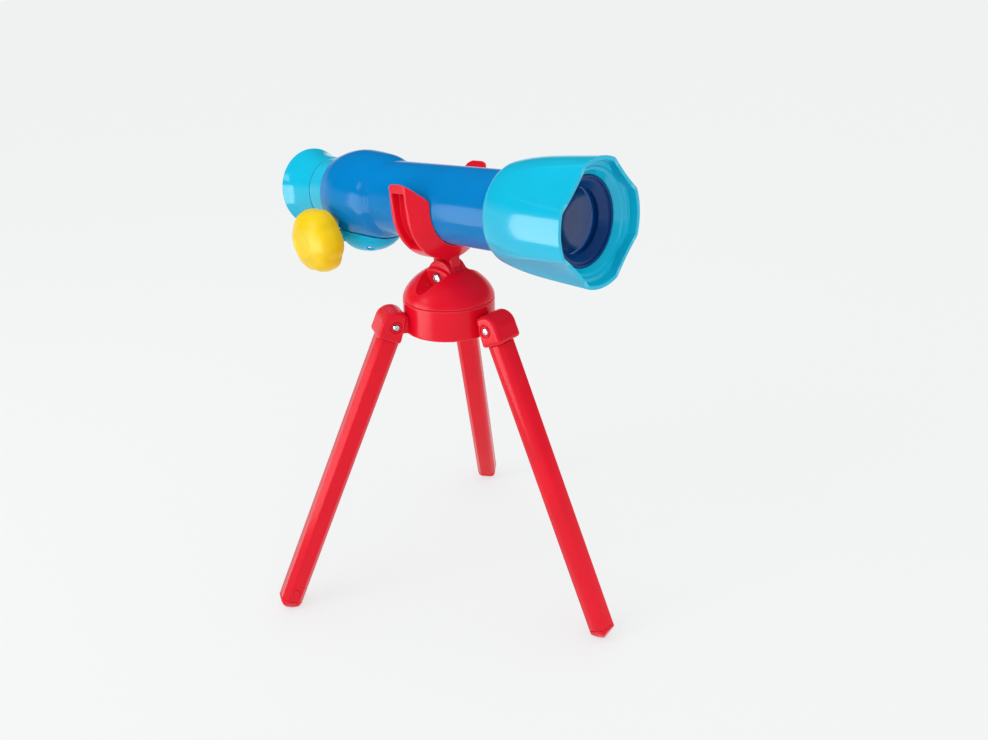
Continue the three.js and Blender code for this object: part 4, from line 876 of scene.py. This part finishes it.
RED = plastic("red_plastic", light(0.91, 0.06, 0.16), light(1.0, 0.42, 0.48),
              roughness=0.22, shine=0.19, sheen_and_wear=0.38)
RED_LEG = plastic("red_leg_plastic", light(0.91, 0.05, 0.15), light(1.0, 0.42, 0.48),
                  roughness=0.20, shine=0.17, sheen_and_wear=0.04)
BLUE = plastic("blue_plastic", light(0.0, 0.50, 0.78), light(0.40, 0.72, 0.92),
               roughness=0.13, shine=0.14, sheen_and_wear=0.3)
CYAN = plastic("cyan_plastic", light(0.06, 0.745, 0.885), light(0.72, 0.93, 0.98),
               roughness=0.12, shine=0.42, sheen_and_wear=0.22)
TEAL = plastic("teal_plastic", light(0.0, 0.74, 0.92), light(0.50, 0.88, 0.96),
               roughness=0.20, shine=0.15, sheen_and_wear=0.35)
YELLOW = plastic("yellow_plastic", light(0.97, 0.82, 0.02), light(1.0, 0.94, 0.60),
                 roughness=0.30, shine=0.3, sheen_and_wear=0.3)
# The tube's blue darkened as painted shade, for the ring deep in the hood's mouth; the hidden eyepiece
# ring shares it
SHADED_BLUE = plastic("navy_plastic", light(0.02, 0.22, 0.46), light(0.26, 0.44, 0.70),
               roughness=0.28, shine=0.3, sheen_and_wear=0.35)
STEEL = steel()
LENS = lens_glass("coated_lens", mirror=0.0)
LENS_BACK = lens_glass("lens_back", mirror=1.0)
STAGE_WHITE = light(0.953, 0.961, 0.961)

# The pieces
finished(hub(), "tripod_hub", STAND, "tripod_base", "tripod", RED)
for number, place in enumerate(LEGS, 1):
    body = f"leg_{number}"
    seat = KNUCKLE_HALF - LEG_HEAD_HEIGHT + GAP
    pin_place = place @ Matrix.Translation((0, -seat, 0)) @ Matrix.Rotation(math.pi / 2, 4, "X")
    finished(knuckle(), f"knuckle_{number}", place, f"leg_knuckle_{number}", body, RED)
    finished(leg_tube(), f"tube_{number}", place, f"leg_tube_{number}", body, RED_LEG)
    finished(foot(), f"foot_{number}", place, f"leg_foot_{number}", body, RED)
    pin = fastener(LEG_HEAD_RADIUS, LEG_HEAD_HEIGHT, LEG_SHANK, LEG_SCREW)
    finished(pin, f"pivot_screw_{number}", pin_place, f"leg_screw_{number}", body, STEEL)
finished(dome(), "pan_dome", STAND, "pan_head", "head", RED)
tilt_seat = POCKET_FACE - TILT_SEAT_DEPTH + GAP
tilt_place = (STAND @ Matrix.Translation((0, -tilt_seat, TILT_HEIGHT))
              @ Matrix.Rotation(math.pi / 2, 4, "X"))
tilt_length = 2 * tilt_seat + NUT_HEIGHT + TILT_TIP
axle = fastener(TILT_HEAD_RADIUS, TILT_HEAD_HEIGHT, TILT_SHANK, tilt_length)
finished(axle, "tilt_axle", tilt_place, "tilt_screw", "head", STEEL)
finished(yoke(), "cradle", SCOPE, "yoke", "scope", RED)
finished(barrel(), "main_tube", SCOPE, "barrel", "scope", BLUE)
finished(hood(), "front_hood", SCOPE, "hood", "scope", CYAN)
front_lens = finished(objective(), "front_lens", SCOPE, "objective_lens", "scope", LENS)
front_lens.data.materials.append(LENS_BACK)
ahead = SCOPE.col[0].xyz.normalized()
for face in front_lens.data.polygons:
    looks_back = face.normal.dot(ahead) < -0.5
    face.material_index = int(looks_back)
finished(retainer(), "lens_ring", SCOPE, "lens_retainer", "scope", SHADED_BLUE)
finished(pod(), "drive_pod", SCOPE, "focus_pod", "scope", TEAL)
pod_length = POD_SCREW_TIP - POD_SCREW_SEAT + GAP
for number, y in enumerate((-POD_SCREW_Y, POD_SCREW_Y), 1):
    place = (SCOPE @ Matrix.Translation((POD_SCREW_X, y, POD_SCREW_SEAT - GAP))
             @ Matrix.Rotation(math.pi, 4, "X"))
    pod_pin = fastener(POD_HEAD_RADIUS, POD_HEAD_HEIGHT, POD_SCREW_RADIUS, pod_length)
    finished(pod_pin, f"pod_fastener_{number}", place, f"pod_screw_{number}", "scope",
             STEEL)
finished(draw_tube(), "sliding_tube", SCOPE, "draw_tube", "eyepiece", CYAN)
finished(eyecup(), "eye_cup", SCOPE, "eyecup", "eyepiece", CYAN)
finished(eye_lens(), "rear_lens", SCOPE, "eye_lens", "eyepiece", LENS)
finished(knob(), "turning_knob", DRIVE, "focus_knob", "focus_drive", YELLOW)

# The solids that stay as they are get the same finishes
KEPT = {"leg_nut_1": STEEL, "leg_nut_2": STEEL, "leg_nut_3": STEEL, "pan_washer": STEEL,
        "pan_screw": STEEL, "tilt_nut": STEEL, "focus_shaft": STEEL, "shaft_clip": STEEL,
        "focus_rack": CYAN, "focus_pinion": YELLOW, "eye_lens_retainer": SHADED_BLUE}
for node, material in KEPT.items():
    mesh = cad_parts[node].data
    mesh.materials.clear()
    mesh.materials.append(material)


# Rays that look straight at the stage, or see it in gloss or glass
def seen_rays(n):
    path = n.add("LightPath")
    seen = path.outputs["Is Camera Ray"]
    for name in ("Is Glossy Ray", "Is Transmission Ray"):
        seen = n.add("Math", {0: seen, 1: path.outputs[name]}, operation="MAXIMUM").outputs["Value"]
    return seen


# Pale floor that keeps a light shadow
def studio_floor():
    corners = [(-FLOOR_HALF, -FLOOR_HALF, 0), (FLOOR_HALF, -FLOOR_HALF, 0),
               (FLOOR_HALF, FLOOR_HALF, 0), (-FLOOR_HALF, FLOOR_HALF, 0)]
    plane = make("floor", corners, [(0, 1, 2, 3)])
    material, n = new_material("pale_floor")
    share = n.add("Math", {0: seen_rays(n), 1: FLOOR_GLOW}, operation="MULTIPLY")
    lit = n.add("BsdfDiffuse", {"Color": (0.86, 0.87, 0.87, 1.0)})
    glow = n.add("Emission", {"Color": STAGE_WHITE, "Strength": 1.0})
    both = n.add("MixShader", {0: share.outputs["Value"], 1: lit.outputs["BSDF"],
                               2: glow.outputs["Emission"]})
    n.add("OutputMaterial", {"Surface": both.outputs["Shader"]})
    plane.data.materials.append(material)


# Broad light, strongest from above; gloss sees a white surround that darkens overhead
def surround():
    world = bpy.data.worlds.new("surround")
    bpy.context.scene.world = world
    world.use_nodes = True
    n = Nodes(world.node_tree)
    height = n.add("SeparateXYZ", {"Vector": n.add("TexCoord").outputs["Generated"]}).outputs["Z"]
    fade = n.ramp(height, STAGE_WHITE, (0.03, 0.03, 0.03, 1.0), start=0.02, end=0.22)
    path = n.add("LightPath")
    straight = n.add("Math", {0: path.outputs["Is Camera Ray"], 1: path.outputs["Is Transmission Ray"]},
                     operation="MAXIMUM")
    seen = n.add("Mix", {"Factor": straight.outputs["Value"], "A": fade, "B": STAGE_WHITE},
                 data_type="RGBA")
    shown = n.add("Background", {"Color": seen.outputs["Result"], "Strength": 1.0})
    dawn = n.ramp(height, (0.30, 0.30, 0.30, 1.0), (0.80, 0.80, 0.80, 1.0))
    lit = n.add("Background", {"Color": dawn, "Strength": 1.5})
    both = n.add("MixShader", {0: seen_rays(n), 1: lit.outputs["Background"],
                               2: shown.outputs["Background"]})
    n.add("OutputWorld", {"Surface": both.outputs["Shader"]})


# One soft box aimed at the object, which shows in its gloss, its colour or both
def soft_box(name, place, size, power, in_gloss=True, in_colour=True):
    lamp = bpy.data.lights.new(name, "AREA")
    lamp.shape, lamp.size, lamp.energy = "SQUARE", size, power
    box = bpy.data.objects.new(name, lamp)
    box.location = place
    box.rotation_euler = (LAMP_AIM - Vector(place)).to_track_quat("-Z", "Y").to_euler()
    box.visible_glossy = in_gloss
    box.visible_diffuse = in_colour
    box.visible_camera = False
    bpy.context.scene.collection.objects.link(box)


# Camera at the photograph's place, with its small roll
def camera():
    data = bpy.data.cameras.new("camera")
    data.lens, data.sensor_width = CAMERA_LENS, CAMERA_SENSOR
    data.clip_start, data.clip_end = 0.01, 300
    eye = bpy.data.objects.new("camera", data)
    ahead = CAMERA_AHEAD.normalized()
    level = ahead.cross(Vector((0, 0, 1))).normalized()
    upright = level.cross(ahead)
    roll = math.radians(CAMERA_ROLL)
    right = level * math.cos(roll) + upright * math.sin(roll)
    up = upright * math.cos(roll) - level * math.sin(roll)
    eye.matrix_world = Matrix((right, up, -ahead)).transposed().to_4x4()
    eye.location = CAMERA_PLACE
    bpy.context.scene.collection.objects.link(eye)
    bpy.context.scene.camera = eye


studio_floor()
surround()
soft_box("key_light", (-0.25, -1.0, 0.95), size=0.8, power=2.6, in_gloss=False)
soft_box("window_light", (-0.35, -0.85, 0.75), size=0.28, power=0.9)
soft_box("front_light", (0.85, -0.75, 0.42), size=0.5, power=1.2, in_gloss=False)
soft_box("side_card", (-0.17, -0.44, 0.16), size=0.38, power=2.2, in_colour=False)
camera()
bpy.context.scene.view_settings.view_transform = "Standard"
